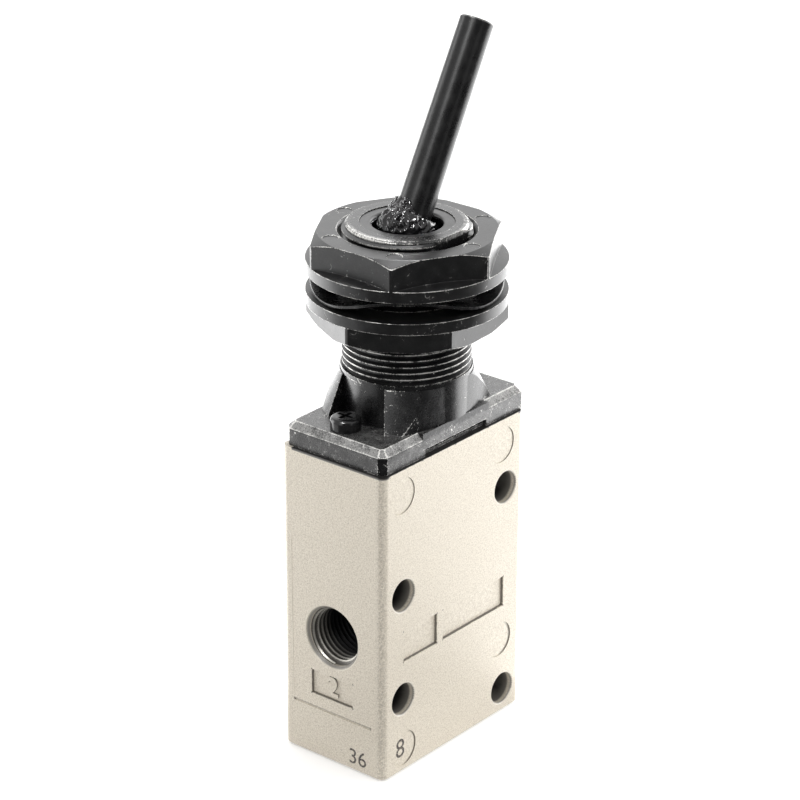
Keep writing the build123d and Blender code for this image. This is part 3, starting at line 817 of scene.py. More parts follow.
    def finish(
        self, name: str, body: Body, slot: str, finish: Material,
        replaces: Iterable[str] = (), smooth_deg: float = 40.0,
    ) -> bpy.types.Object:
        """Turns the blank into a piece of the valve.

        Args:
            name: name of the piece.
            body: rigid body that it rides on.
            slot: the record's material slot; not used.
            finish: its material.
            replaces: CAD nodes that it stands for.
            smooth_deg: edges sharper than this stay sharp, where the blank keeps no shading.

        Returns:
            The piece's object.
        """
        bmesh.ops.scale(self.bm, vec=(MM,) * 3, verts=self.bm.verts)
        normals = [vert[self.shading].normalized() for vert in self.bm.verts] if self.shading else []
        if self.shading:
            self.bm.verts.layers.float_vector.remove(self.shading)
        mesh = mesh_of(name, self.bm)
        mesh.shade_smooth()
        if normals:
            mesh.normals_split_custom_set_from_vertices(normals)
        else:
            mesh.set_sharp_from_angle(angle=math.radians(smooth_deg))
        mesh.materials.append(finish)
        piece = add_object(name, mesh)
        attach(piece, body.value)
        if replaces:
            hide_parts(*replaces)
        LOG.info("%s rides on %s with %d faces", name, body.value, len(mesh.polygons))
        return piece


def lettered(text: str, height: float, thickness: float, bold: float = 0.0) -> Blank:
    """Figures as a thin solid.

    Args:
        text: the figures.
        height: height of a figure in millimetres.
        thickness: thickness of the solid in millimetres.
        bold: how much each stroke grows on either side, in millimetres.

    Returns:
        The solid, with its middle at the origin and its face along +Z.
    """
    curve = bpy.data.curves.new("figures", "FONT")
    curve.body = text
    curve.size = height * FONT_SIZE_PER_HEIGHT
    curve.align_x = curve.align_y = "CENTER"
    curve.extrude = thickness / 2.0
    curve.offset = bold
    holder = add_object("figures", curve)
    graph = bpy.context.evaluated_depsgraph_get()
    mesh = bpy.data.meshes.new_from_object(holder.evaluated_get(graph))
    bpy.data.objects.remove(holder)
    blank = Blank.from_mesh(mesh)
    bmesh.ops.remove_doubles(blank.bm, verts=blank.bm.verts, dist=0.002)
    return blank


def arc(radius: float, start: float, end: float, steps: int) -> list[Span]:
    """Points along an arc about the origin.

    Args:
        radius: radius of the arc.
        start: angle of the first point, in radians.
        end: angle of the last point.
        steps: number of stretches between them.

    Returns:
        The points.
    """
    angles = (start + (end - start) * step / steps for step in range(steps + 1))
    return [(radius * math.cos(angle), radius * math.sin(angle)) for angle in angles]


def polar(point: Vector) -> tuple[float, float]:
    """Distance from the working axis and the angle round it, in millimetres and radians."""
    x, y = point.x - AXIS_X, point.y - AXIS_Y
    return math.hypot(x, y), math.atan2(y, x)


@dataclass
class Thread:
    """Helical ridge that stands on the wall of a neck or a port, about the Z axis."""

    wall_r: float
    crest_r: float
    pitch: float
    start: float
    end: float
    base_share: float = 0.84
    crest_share: float = 0.16
    sink: float = 0.04
    steps: int = 72

    def build(self) -> Blank:
        """Sweeps the ridge's section along its helix and caps both ends.

        Returns:
            The ridge, with full wear along its crest.
        """
        blank = Blank()
        inward = math.copysign(self.sink, self.crest_r - self.wall_r)
        base, crest = self.pitch * self.base_share / 2.0, self.pitch * self.crest_share / 2.0
        corners = (
            (self.wall_r - inward, -base),
            (self.crest_r, -crest),
            (self.crest_r, crest),
            (self.wall_r - inward, base),
        )
        section = blank.section((radius, self.start + lift) for radius, lift in corners)
        count = round((self.end - self.start) / self.pitch * self.steps)
        bmesh.ops.spin(
            blank.bm, geom=section, cent=(0, 0, 0), axis=(0, 0, 1),
            dvec=(0, 0, self.pitch / self.steps), angle=math.tau * count / self.steps,
            steps=count, use_merge=False, use_duplicate=False,
        )
        ends = [edge for edge in blank.bm.edges if edge.is_boundary]
        bmesh.ops.holes_fill(blank.bm, edges=ends, sides=4)
        bmesh.ops.recalc_face_normals(blank.bm, faces=blank.bm.faces)
        ridge = blank.layer(Layer.RIDGE)
        for vert in blank.bm.verts:
            on_crest = abs(math.hypot(vert.co.x, vert.co.y) - self.crest_r) < self.sink
            vert[ridge] = 1.0 if on_crest else 1.0 - self.pitch * 0.6 / REACH_MM
        return blank


# Sub-assemblies


@dataclass
class CastBody:
    """The pale cast body with its threaded ports, raised numbers, parting ribs and print."""

    edge: float = 0.08
    height: float = 51.7
    port_r: float = 4.86
    port_depth: float = 8.9
    port_chamfer: float = 0.5
    port_cone_slope: float = 0.75
    thread_crest_r: float = 4.28
    thread_pitch: float = 0.907
    thread_start: float = 0.85
    thread_end_gap: float = 0.5
    outlet_z: float = 21.75
    inlet_z: float = 13.0
    panel_depth: float = 0.45
    # Painted shade on the walls of the sunk panels and in the joint under the plate, kept off near the
    # corner of the -X and +Y faces.
    wall_shade: float = 0.08
    wall_reach: Span = (0.04, 0.5)
    wall_inset: float = 1.4
    joint_shade: float = 0.5
    joint_reach: float = 0.04
    clean_corner: Span = (-15.5, 8.0)
    # From this depth a bore turns to bare metal and then to painted shade.
    bore_start: float = 0.62
    bore_fade: float = 5.0
    numeral_height: float = 3.3
    numeral_rise: float = 0.34
    numeral_bold: float = 0.09
    numeral_foot: float = 0.12
    # Painted shade at the foot of the numbers' walls.
    numeral_foot_shade: float = 0.16
    outlet_numeral_z: float = 12.89
    inlet_numeral_z: float = 21.86
    rib_width: float = 0.16
    rib_rise: float = 0.05
    rib_spans: tuple[tuple[Span, Span], ...] = (
        ((9.2, -4.1), (37.55, 37.9)),
        ((8.15, 8.35), (9.9, 37.2)),
    )
    line_span: Span = (8.0, 8.45)
    mark_depth: float = 0.12
    print_rise: float = 0.012
    side_print: Span = (-5.15, 2.3)
    side_print_size: float = 2.7
    front_print: Span = (-12.9, 4.0)
    front_print_size: float = 3.3

    def side_place(self, facing: Facing, across: float, height: float, sink: float) -> Matrix:
        """Matrix that stands the XY plane up on a narrow side, with +Z out of the body.

        Args:
            facing: the narrow side.
            across: distance from the side's middle line, along Y.
            height: height above the floor.
            sink: depth below the side's face.

        Returns:
            The matrix.
        """
        out = Vector((facing.value, 0.0, 0.0))
        level = Vector((0.0, facing.value, 0.0))
        turn = Matrix((level, Vector((0.0, 0.0, 1.0)), out)).transposed().to_4x4()
        spot = Vector((facing.value * (HALF_LENGTH - sink), AXIS_Y + across, height))
        return Matrix.Translation(spot) @ turn

    def build_block(self, cast: Material) -> None:
        """Dresses the block itself and marks how deep its bores are and where painted shade falls.

        Args:
            cast: finish of the body.
        """

        def shallow(point: Vector) -> bool:
            """True on the round marks and on the fine line across the outlet side."""
            if point.x < 0.25 - HALF_LENGTH:
                return self.line_span[0] < point.z < self.line_span[1]
            if point.y > 0.25 - HALF_WIDTH:
                return False
            return any(math.hypot(point.x - x, point.z - z) < MARK_R + 0.2 for x, z in MARKS)

        def depth(point: Vector, normal: Vector) -> float:
            """How much painted shade, or bare bore metal, a point gets for its place.

            Args:
                point: the point.
                normal: the surface's normal there.

            Returns:
                0 on the outer faces, a little painted shade on the walls of the sunk panels, more
                painted shade in the joint under the plate, and up to 1 deep in a bore, where bare metal
                gives way to painted shade.
            """
            corner_x, corner_y = self.clean_corner
            clean = point.x < corner_x and point.y > corner_y
            if point.z > self.height - self.joint_reach and not clean:
                return self.joint_shade
            (nearest, facing), (second, _) = sorted((
                (HALF_LENGTH - abs(point.x), abs(normal.x)),
                (HALF_WIDTH - abs(point.y), abs(normal.y)),
                (self.height - point.z, 1.0),
                (point.z, 1.0),
            ))[:2]
            on_wall = self.wall_reach[0] < nearest < self.wall_reach[1] and facing < 0.9
            if on_wall and second > self.wall_inset and not shallow(point):
                return self.wall_shade
            return clamp((nearest - self.bore_start) / self.bore_fade)

        blank = Blank.from_node("valve_body").soften(self.edge, unworn=shallow).rub(depth)
        blank.finish("cast_block", Body.VALVE, "cast", cast, replaces=["valve_body"])

    def build_port_thread(self, facing: Facing, height: float, thread: Material) -> None:
        """Cuts the turns of one port's thread, open at its chamfered mouth.

        Args:
            facing: the side that the port is on.
            height: height of the port's axis.
            thread: finish of the cut metal.
        """
        end = self.port_depth - self.thread_end_gap
        ridge = Thread(self.port_r, self.thread_crest_r, self.thread_pitch, self.thread_start, end)
        blank = ridge.build()

        def mouth(point: Vector) -> Vector:
            """Keeps the ridge behind the mouth's cone."""
            least = self.port_r + self.port_chamfer - self.port_cone_slope * point.z
            radius = math.hypot(point.x, point.y)
            if radius >= least or radius == 0.0:
                return point
            grow = min(least, self.port_r + ridge.sink) / radius
            return Vector((point.x * grow, point.y * grow, point.z))

        turn = Matrix.Rotation(math.radians(90.0 * -facing.value), 4, "Y")
        spot = Matrix.Translation((facing.value * HALF_LENGTH, AXIS_Y, height))
        blank.shape(mouth).place(spot @ turn)
        blank.finish(f"{facing.name.lower()}_port_thread", Body.VALVE, "cast", thread)

    def build_numeral(self, facing: Facing, figure: str, height: float, cast: Material) -> None:
        """Raises the port's number in its sunk panel.

        Args:
            facing: the side that the number stands on.
            figure: the number.
            height: height of its middle.
            cast: finish of the body.
        """
        blank = lettered(figure, self.numeral_height, self.numeral_rise, self.numeral_bold)
        sink = self.panel_depth - self.numeral_rise / 2.0 + 0.01
        foot = HALF_LENGTH - self.panel_depth + self.numeral_foot

        def wall(point: Vector, _: Vector) -> float:
            """Painted shade at the foot of the number's walls."""
            return self.numeral_foot_shade if abs(point.x) < foot else 0.0

        blank.place(self.side_place(facing, 0.0, height, sink))
        blank.soften(0.05, unworn=lambda _: True).rub(wall)
        blank.finish(f"{facing.name.lower()}_number", Body.VALVE, "cast", cast)

    def build_print(
        self, name: str, figure: str, size: float, place: Matrix, ink: Material
    ) -> None:
        """Prints a small figure on a face.

        Args:
            name: name of the piece.
            figure: what is printed.
            size: height of a figure.
            place: matrix that puts it on its face.
            ink: finish of the ink.
        """
        blank = lettered(figure, size, 2.0 * self.print_rise).place(place)
        blank.finish(name, Body.VALVE, "cast", ink)

    def build_ribs(self, cast: Material) -> None:
        """Raises the thin ribs that the die's insert left on the outlet side.

        Args:
            cast: finish of the body.
        """
        blank = Blank()
        for across, heights in self.rib_spans:
            lie = Vector((0.0, across[1] - across[0], heights[1] - heights[0]))
            middle = Vector((-HALF_LENGTH, sum(across) / 2.0, sum(heights) / 2.0))
            turn = Matrix.Rotation(math.atan2(lie.z, lie.y), 4, "X")
            size = Matrix.Diagonal((2.0 * self.rib_rise, lie.length, self.rib_width, 1.0))
            place = Matrix.Translation(middle) @ turn @ size
            bmesh.ops.create_cube(blank.bm, size=1.0, matrix=place)
        blank.soften(0.04).finish("parting_ribs", Body.VALVE, "cast", cast)

    def build(self, cast: Material, thread: Material, ink: Material) -> None:
        """Builds the block, the port threads, the numbers, the ribs and the print.

        Args:
            cast: finish of the body.
            thread: finish of the cut threads.
            ink: finish of the print.
        """
        self.build_block(cast)
        self.build_port_thread(Facing.OUTLET, self.outlet_z, thread)
        self.build_port_thread(Facing.INLET, self.inlet_z, thread)
        self.build_numeral(Facing.OUTLET, "2", self.outlet_numeral_z, cast)
        self.build_numeral(Facing.INLET, "1", self.inlet_numeral_z, cast)
        self.build_ribs(cast)
        side = self.side_place(Facing.OUTLET, *self.side_print, 0.0)
        self.build_print("side_print", "36", self.side_print_size, side, ink)
        across, height = self.front_print
        front = Matrix.Translation((across, self.mark_depth - HALF_WIDTH, height))
        front = front @ Matrix.Rotation(math.pi / 2, 4, "X")
        self.build_print("front_print", "8", self.front_print_size, front, ink)


@dataclass
class BlackHousing:
    """The black housing with its threaded neck, screws and mouth ring."""

    edge: float = 0.10
    plate_top: float = 55.5
    plate_chamfer: float = 1.05
    neck_r: float = 9.4
    crest_r: float = 9.95
    pitch: float = 1.0
    thread_start: float = 61.62
    neck_top: float = 85.1
    cone_start: float = 84.3
    rim_r: float = 8.5
    rim_patches: tuple[Span, ...] = ((178.0, 34.0), (297.0, 36.0))
    rim_rub: Span = (0.10, 0.80)
    # Painted sheen, with some rubbed wear, on the plate's chamfers and on the skirt's sides.
    chamfer_rub_and_sheen: float = 0.95
    chamfer_normal_z: float = 0.707
    skirt_rub_and_sheen: Span = (0.20, 0.12)
    skirt_span: Span = (55.45, 61.9)
    skirt_half: float = 8.2
    flat_y: float = -8.65
    flat_start: float = 76.1

    def rubbed(self, point: Vector, normal: Vector) -> float:
        """How rubbed the shell is at a point, and where it gets painted sheen.

        Args:
            point: the point.
            normal: the surface's normal there.

        Returns:
            1 on the patches of the mouth's rim, less on the plate's chamfers, where it is painted sheen
            with some wear, a little painted sheen on the skirt's sides, more on those facing -Y, and 0
            elsewhere.
        """
        radius, angle = polar(point)
        if point.z > self.neck_top - 0.6 and radius > self.rim_r:
            around = math.degrees(angle) % 360.0
            patches = (math.exp(-(((around - at) / width) ** 4)) for at, width in self.rim_patches)
            return self.rim_rub[0] + self.rim_rub[1] * max(patches)
        chamfer_z = self.plate_top - self.plate_chamfer
        if chamfer_z - 0.1 < point.z < self.plate_top + 0.1 and radius > 11.0:
            return self.chamfer_rub_and_sheen * clamp(1.0 - abs(normal.z - self.chamfer_normal_z) * 2.4)
        if point.z < chamfer_z and min(abs(normal.x), abs(normal.y)) <= 0.35:
            return self.skirt_rub_and_sheen[0] - self.skirt_rub_and_sheen[1] * normal.y
        return 0.0

    def build_shell(self, black: Material) -> None:
        """Dresses plate, skirt, collar and neck.

        Args:
            black: finish of the housing.
        """

        def skirt_side(point: Vector) -> bool:
            """True on the soft lines where the skirt's bulged sides meet its cone."""
            low, high = self.skirt_span
            return low < point.z < high and abs(point.x - AXIS_X) < self.skirt_half

        blank = Blank.from_node("toggle_housing")
        blank.soften(self.edge, unworn=skirt_side).rub(self.rubbed)
        blank.finish("housing_shell", Body.VALVE, "housing", black, replaces=["toggle_housing"])

    def build_neck_thread(self, black: Material) -> None:
        """Winds the neck's thread, cut back by the mouth's cone and the key flat.

        Args:
            black: finish of the thread.
        """
        end = self.neck_top - 0.6
        ridge = Thread(self.neck_r, self.crest_r, self.pitch, self.thread_start, end)
        sunk = self.neck_r - ridge.sink

        def trim(point: Vector) -> Vector:
            """Keeps the ridge inside the mouth's cone and behind the key flat."""
            radius = math.hypot(point.x, point.y)
            most = self.crest_r - max(0.0, point.z - self.cone_start)
            if radius > most:
                shrink = max(most, sunk) / radius
                point = Vector((point.x * shrink, point.y * shrink, point.z))
            if point.z > self.flat_start and point.y < self.flat_y:
                point.y = self.flat_y
            return point

        blank = ridge.build().shape(trim).place(Matrix.Translation((AXIS_X, AXIS_Y, 0.0)))
        blank.finish("neck_thread", Body.VALVE, "housing", black)

    def build(self, black: Material, thread: Material, gloss: Material, satin: Material) -> None:
        """Builds the shell, the thread, the two screws and the ring in the mouth.

        Args:
            black: finish of the shell.
            thread: finish of the neck's thread.
            gloss: finish of the screws.
            satin: finish of the ring.
        """
        self.build_shell(black)
        self.build_neck_thread(thread)
        screws = Blank.from_node("housing_screws").soften(0.06)
        screws.finish("pan_head_screws", Body.VALVE, "screws", gloss, replaces=["housing_screws"])
        ring = Blank.from_node("neck_ring").soften(0.06)
        ring.finish("mouth_ring", Body.VALVE, "ring", satin, replaces=["neck_ring"])


@dataclass
class PanelNuts:
    """The two flanged nuts and the wave washer between them."""

    edge: float = 0.09
    bore_r: float = 10.0
    chamfer_r: float = 13.8
    corner_r: float = 14.9
    corner_height: float = 1.0
    black_corners_deg: Span = (200.0, 262.0)
    flange_height: float = 2.4
    washer_inner_r: float = 10.4
    washer_outer_r: float = 14.7
    washer_thickness: float = 0.5
    washer_middle: float = 76.1
    washer_swing: float = 1.32
    washer_waves: int = 3
    washer_high_deg: float = 218.5

    def build_nut(self, node: str, body: Body, black: Material) -> None:
        """Dresses one nut and opens its bore to the thread's outer diameter.

        Args:
            node: CAD node of the nut.
            body: rigid body that it rides on.
            black: its finish.
        """

        def open_bore(point: Vector) -> Vector:
            """Moves the bore's wall out to clear the thread."""
            radius, angle = polar(point)
            if radius > self.bore_r:
                return point
            x, y = self.bore_r * math.cos(angle), self.bore_r * math.sin(angle)
            return Vector((AXIS_X + x, AXIS_Y + y, point.z))

        blank = Blank.from_node(node).shape(open_bore)
        heights = [vert.co.z for vert in blank.bm.verts]
        low, high = min(heights), max(heights)

        def plain(point: Vector) -> bool:
            """True on the corners that stayed black and on the chamfer's inner arcs."""
            radius, angle = polar(point)
            rise = point.z - low if body is Body.PANEL_NUT else high - point.z
            top = high - low
            if radius > self.corner_r and self.flange_height < rise < top - self.corner_height:
                start, end = self.black_corners_deg
                return body is Body.BACK_NUT or start < math.degrees(angle) % 360.0 < end
            return rise > top - 0.05 and abs(radius - self.chamfer_r) < 0.12

        blank.soften(self.edge, angle_deg=15.0, unworn=plain)
        creases, ridges = blank.layer(Layer.CREASE), blank.layer(Layer.RIDGE)
        for vert in blank.bm.verts:
            vert[ridges] = max(vert[ridges], vert[creases] - 0.04)
        blank.finish(f"flanged_{node}", body, "nut", black, replaces=[node])

    def build_washer(self, dark: Material) -> None:
        """Spins the washer's section and bends it into its waves.

        Args:
            dark: finish of the washer.
        """
        half = self.washer_thickness / 2.0
        outline = (
            (self.washer_inner_r, -half),
            (self.washer_outer_r, -half),
            (self.washer_outer_r, half),
            (self.washer_inner_r, half),
        )
        blank = Blank.spun(outline, steps=120).soften(0.08)
        high = math.radians(self.washer_high_deg)

        def wave(point: Vector) -> Vector:
            """Lifts a point by the washer's wave at its angle."""
            angle = math.atan2(point.y, point.x)
            lift = self.washer_swing * math.cos(self.washer_waves * (angle - high))
            return Vector((point.x + AXIS_X, point.y + AXIS_Y, point.z + self.washer_middle + lift))

        blank.shape(wave)
        blank.finish("spring_washer", Body.BACK_NUT, "washer", dark, replaces=["wave_washer"])

    def build(self, black: Material, dark: Material) -> None:
        """Builds both nuts and the washer.

        Args:
            black: finish of the nuts.
            dark: finish of the washer.
        """
        self.build_nut("upper_nut", Body.PANEL_NUT, black)
        self.build_nut("lower_nut", Body.BACK_NUT, black)
        self.build_washer(dark)


@dataclass
class ToggleLever:
    """The black lever and the crumpled rubber boot that is gathered over its ball."""

    tilt_deg: float = 29.25
    pivot_z: float = 83.3
    edge: float = 0.10
    boot_r: float = 4.38
    boot_fold: float = 0.55
    boot_low: float = -1.2
    boot_shoulder: float = 2.4
    boot_top: float = 4.5
    boot_top_r: float = 3.02
    boot_high_deg: float = 160.0
    boot_high_half_deg: float = 32.0
    boot_fall_deg: float = 34.0
    boot_slope_mm: float = 2.0
    boot_ragged: float = 0.22
    skin_steps: int = 22
    slope_steps: int = 16
    wall_steps: int = 12
    ball_r: float = 3.75
    shaft_r: float = 2.9
    notch_r: float = 1.05

    def lever_place(self) -> Matrix:
        """Matrix that takes the lever's own axis to its tilted place."""
        turn = Matrix.Rotation(math.radians(self.tilt_deg), 4, "Y")
        return Matrix.Translation((AXIS_X, AXIS_Y, self.pivot_z)) @ turn

    def build_lever(self, black: Material) -> None:
        """Dresses the lever with its ball and cam.

        Args:
            black: finish of the lever.
        """
        blank = Blank.from_node("lever").soften(self.edge)
        blank.finish("lever_rod", Body.TOGGLE, "lever", black, replaces=["lever"])

    def boot_outline(self) -> list[Span]:
        """Outline of the boot: its skin from the foot up, then the wall over shaft and ball.

        Returns:
            (radius, height) of the corners of the closed outline.
        """
        skin = arc(
            self.boot_r, math.asin(self.boot_low / self.boot_r),
            math.asin(self.boot_shoulder / self.boot_r), self.skin_steps,
        )
        start, end = Vector(skin[-1]), Vector((self.boot_top_r, self.boot_top))
        shares = (step / self.slope_steps for step in range(1, self.slope_steps + 1))
        slope = [tuple(start.lerp(end, share)) for share in shares]
        lip = [(self.shaft_r + 0.02, self.boot_top + 0.12), (self.shaft_r, self.boot_top - 0.2)]
        wall = arc(
            self.ball_r, math.acos(self.shaft_r / self.ball_r),
            math.asin(self.boot_low / self.ball_r), self.wall_steps,
        )
        return skin + slope + lip + wall

    def inner_r(self, height: float) -> float:
        """Radius of the ball or shaft that the boot must stay clear of.

        Args:
            height: height above the ball's centre.

        Returns:
            The radius there.
        """
        if abs(height) < self.ball_r:
            return max(self.shaft_r, math.sqrt(self.ball_r ** 2 - height ** 2))
        return self.shaft_r

    @staticmethod
    def wedge(turns: float) -> float:
        """Triangle wave between 0 and 1, for folds with sharp backs and flat sides."""
        return abs(2.0 * (turns - math.floor(turns)) - 1.0)

    def crumple(self, point: Vector) -> Vector:
        """Folds one point of the boot's skin.

        Args:
            point: a point about the lever's own axis, with its height from the pivot.

        Returns:
            The point, pushed in or out along its folds, and raised over the pin at the foot.
        """
        radius = math.hypot(point.x, point.y)
        angle = math.atan2(point.y, point.x)
        room = radius - self.inner_r(point.z)
        if point.z > self.boot_shoulder:
            away = abs((math.degrees(angle) - self.boot_high_deg + 180.0) % 360.0 - 180.0)
            fall = clamp((away - self.boot_high_half_deg) / self.boot_fall_deg)
            low = 0.5 - 0.5 * math.cos(math.pi * fall)
            share = 1.0 - low * self.boot_slope_mm / (self.boot_top - self.boot_shoulder)
            spot = Vector((2.2 * math.cos(angle), 2.2 * math.sin(angle), 5.0))
            share += self.boot_ragged * noise.noise(spot)
            rise = (point.z - self.boot_shoulder) * max(share, 0.04)
            point = Vector((point.x, point.y, self.boot_shoulder + rise))
        if room > 0.05:
            rising = clamp((point.z - self.boot_low) / 1.2)
            seed = Vector((point.x, point.y, point.z * 0.8 + 0.5 * math.sin(angle * 2.0)))
            bend = noise.noise(seed * 0.55 + Vector((3.1, 0.4, 1.7)))
            turn = noise.noise(seed * 0.7 + Vector((9.0, 2.0, 4.0)))
            kink = noise.noise(seed * 1.1 + Vector((1.0, 7.0, 2.0)))
            folds = self.wedge(1.3 * bend + 0.8 * angle)
            creases = self.wedge(1.3 * turn + 0.35 * point.z)
            crinkles = self.wedge(1.1 * kink + 0.3 * angle)
            push = 0.36 * folds + 0.30 * creases + 0.16 * crinkles - 0.26
            fold = self.boot_fold * max(0.0, -math.cos(angle - 0.35)) ** 1.5
            fold *= 1.0 if point.z < 3.0 else 0.6
            push = min(max(push * (0.35 + 0.65 * rising), -0.75 * room), 0.30) + fold
            grow = (radius + push) / radius
            point = Vector((point.x * grow, point.y * grow, point.z + 0.16 * (creases - 0.5) * rising))
        if abs(point.x) < self.notch_r and abs(point.y) > 2.0:
            point.z = max(point.z, math.sqrt(self.notch_r ** 2 - point.x ** 2))
        return point

    def build_boot(self, rubber: Material) -> None:
        """Spins the boot, then gathers and crumples its skin.

        Args:
            rubber: finish of the boot.
        """
        blank = Blank.spun(self.boot_outline(), steps=180)
        blank.shape(self.crumple)
        bmesh.ops.remove_doubles(blank.bm, verts=blank.bm.verts, dist=0.004)
        bmesh.ops.dissolve_degenerate(blank.bm, edges=blank.bm.edges, dist=0.002)
        blank.place(self.lever_place())
        blank.finish(
            "gathered_boot", Body.TOGGLE, "boot", rubber, replaces=["dust_boot"], smooth_deg=38.0,
        )

    def build(self, black: Material, rubber: Material) -> None:
        """Builds the lever and its boot."""
        self.build_lever(black)
        self.build_boot(rubber)


@dataclass
class InnerParts:
    """The parts inside, which keep their CAD solids and take real finishes."""

    def dress(self, node: str, finish: Material) -> None:
        """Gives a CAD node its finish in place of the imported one.

        Args:
            node: name of the node.
            finish: its material.
        """
        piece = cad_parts[node]
        piece.data.materials.clear()
        piece.data.materials.append(finish)
        LOG.info("%s keeps its solid", node)

    def build(self) -> None:
        """Dresses each inner part."""
        steel = TurnedFinish("ground_steel", (0.60, 0.60, 0.61), (0.42, 0.42, 0.43), 0.26)
        brass = TurnedFinish("turned_brass", (0.72, 0.55, 0.26), (0.50, 0.36, 0.15), 0.30)
        wire = TurnedFinish("spring_wire", (0.50, 0.50, 0.52), (0.30, 0.30, 0.31), 0.34, 0.3)
        seal = RubberFinish("seal_rubber", roughness=0.55, wrinkle_mm=0.4, relief_mm=0.02)
        for finish, nodes in (
            (steel, ("pivot_pin", "push_rod", "plunger")),
            (brass, ("rod_guide", "plunger_bush", "valve_seat", "poppet")),
            (wire, ("return_spring", "poppet_spring")),
            (seal, ("plunger_seals", "poppet_seal", "plug_seal")),
        ):
            material = finish.material()
            for node in nodes:
                self.dress(node, material)
        plug = TurnedFinish("turned_plug", (0.70, 0.70, 0.71), (0.48, 0.48, 0.49), 0.34).material()
        clip = TurnedFinish("dark_clip_steel", (0.20, 0.20, 0.21), (0.10, 0.10, 0.11), 0.42).material()
        blank = Blank.from_node("bottom_plug").soften(0.08)
        blank.finish("end_plug", Body.VALVE, "plug", plug, replaces=["bottom_plug"])
        blank = Blank.from_node("retaining_clips").soften(0.06)
        blank.finish("spring_clips", Body.VALVE, "clip", clip, replaces=["retaining_clips"])


# Stage


@dataclass(frozen=True)
class Lamp:
    """One soft square or oblong lamp, with its place and size in metres and its power in watts."""

    name: str
    spot: Place
    size: Span
    power: float
    gloss: bool = True
    diffuse: bool = True


@dataclass(frozen=True)
class Card:
    """One standing card that only gloss sees, with its sizes in metres."""

    name: str
    toward_deg: float
    width: float
    height: float
    shade: float
    glow: float


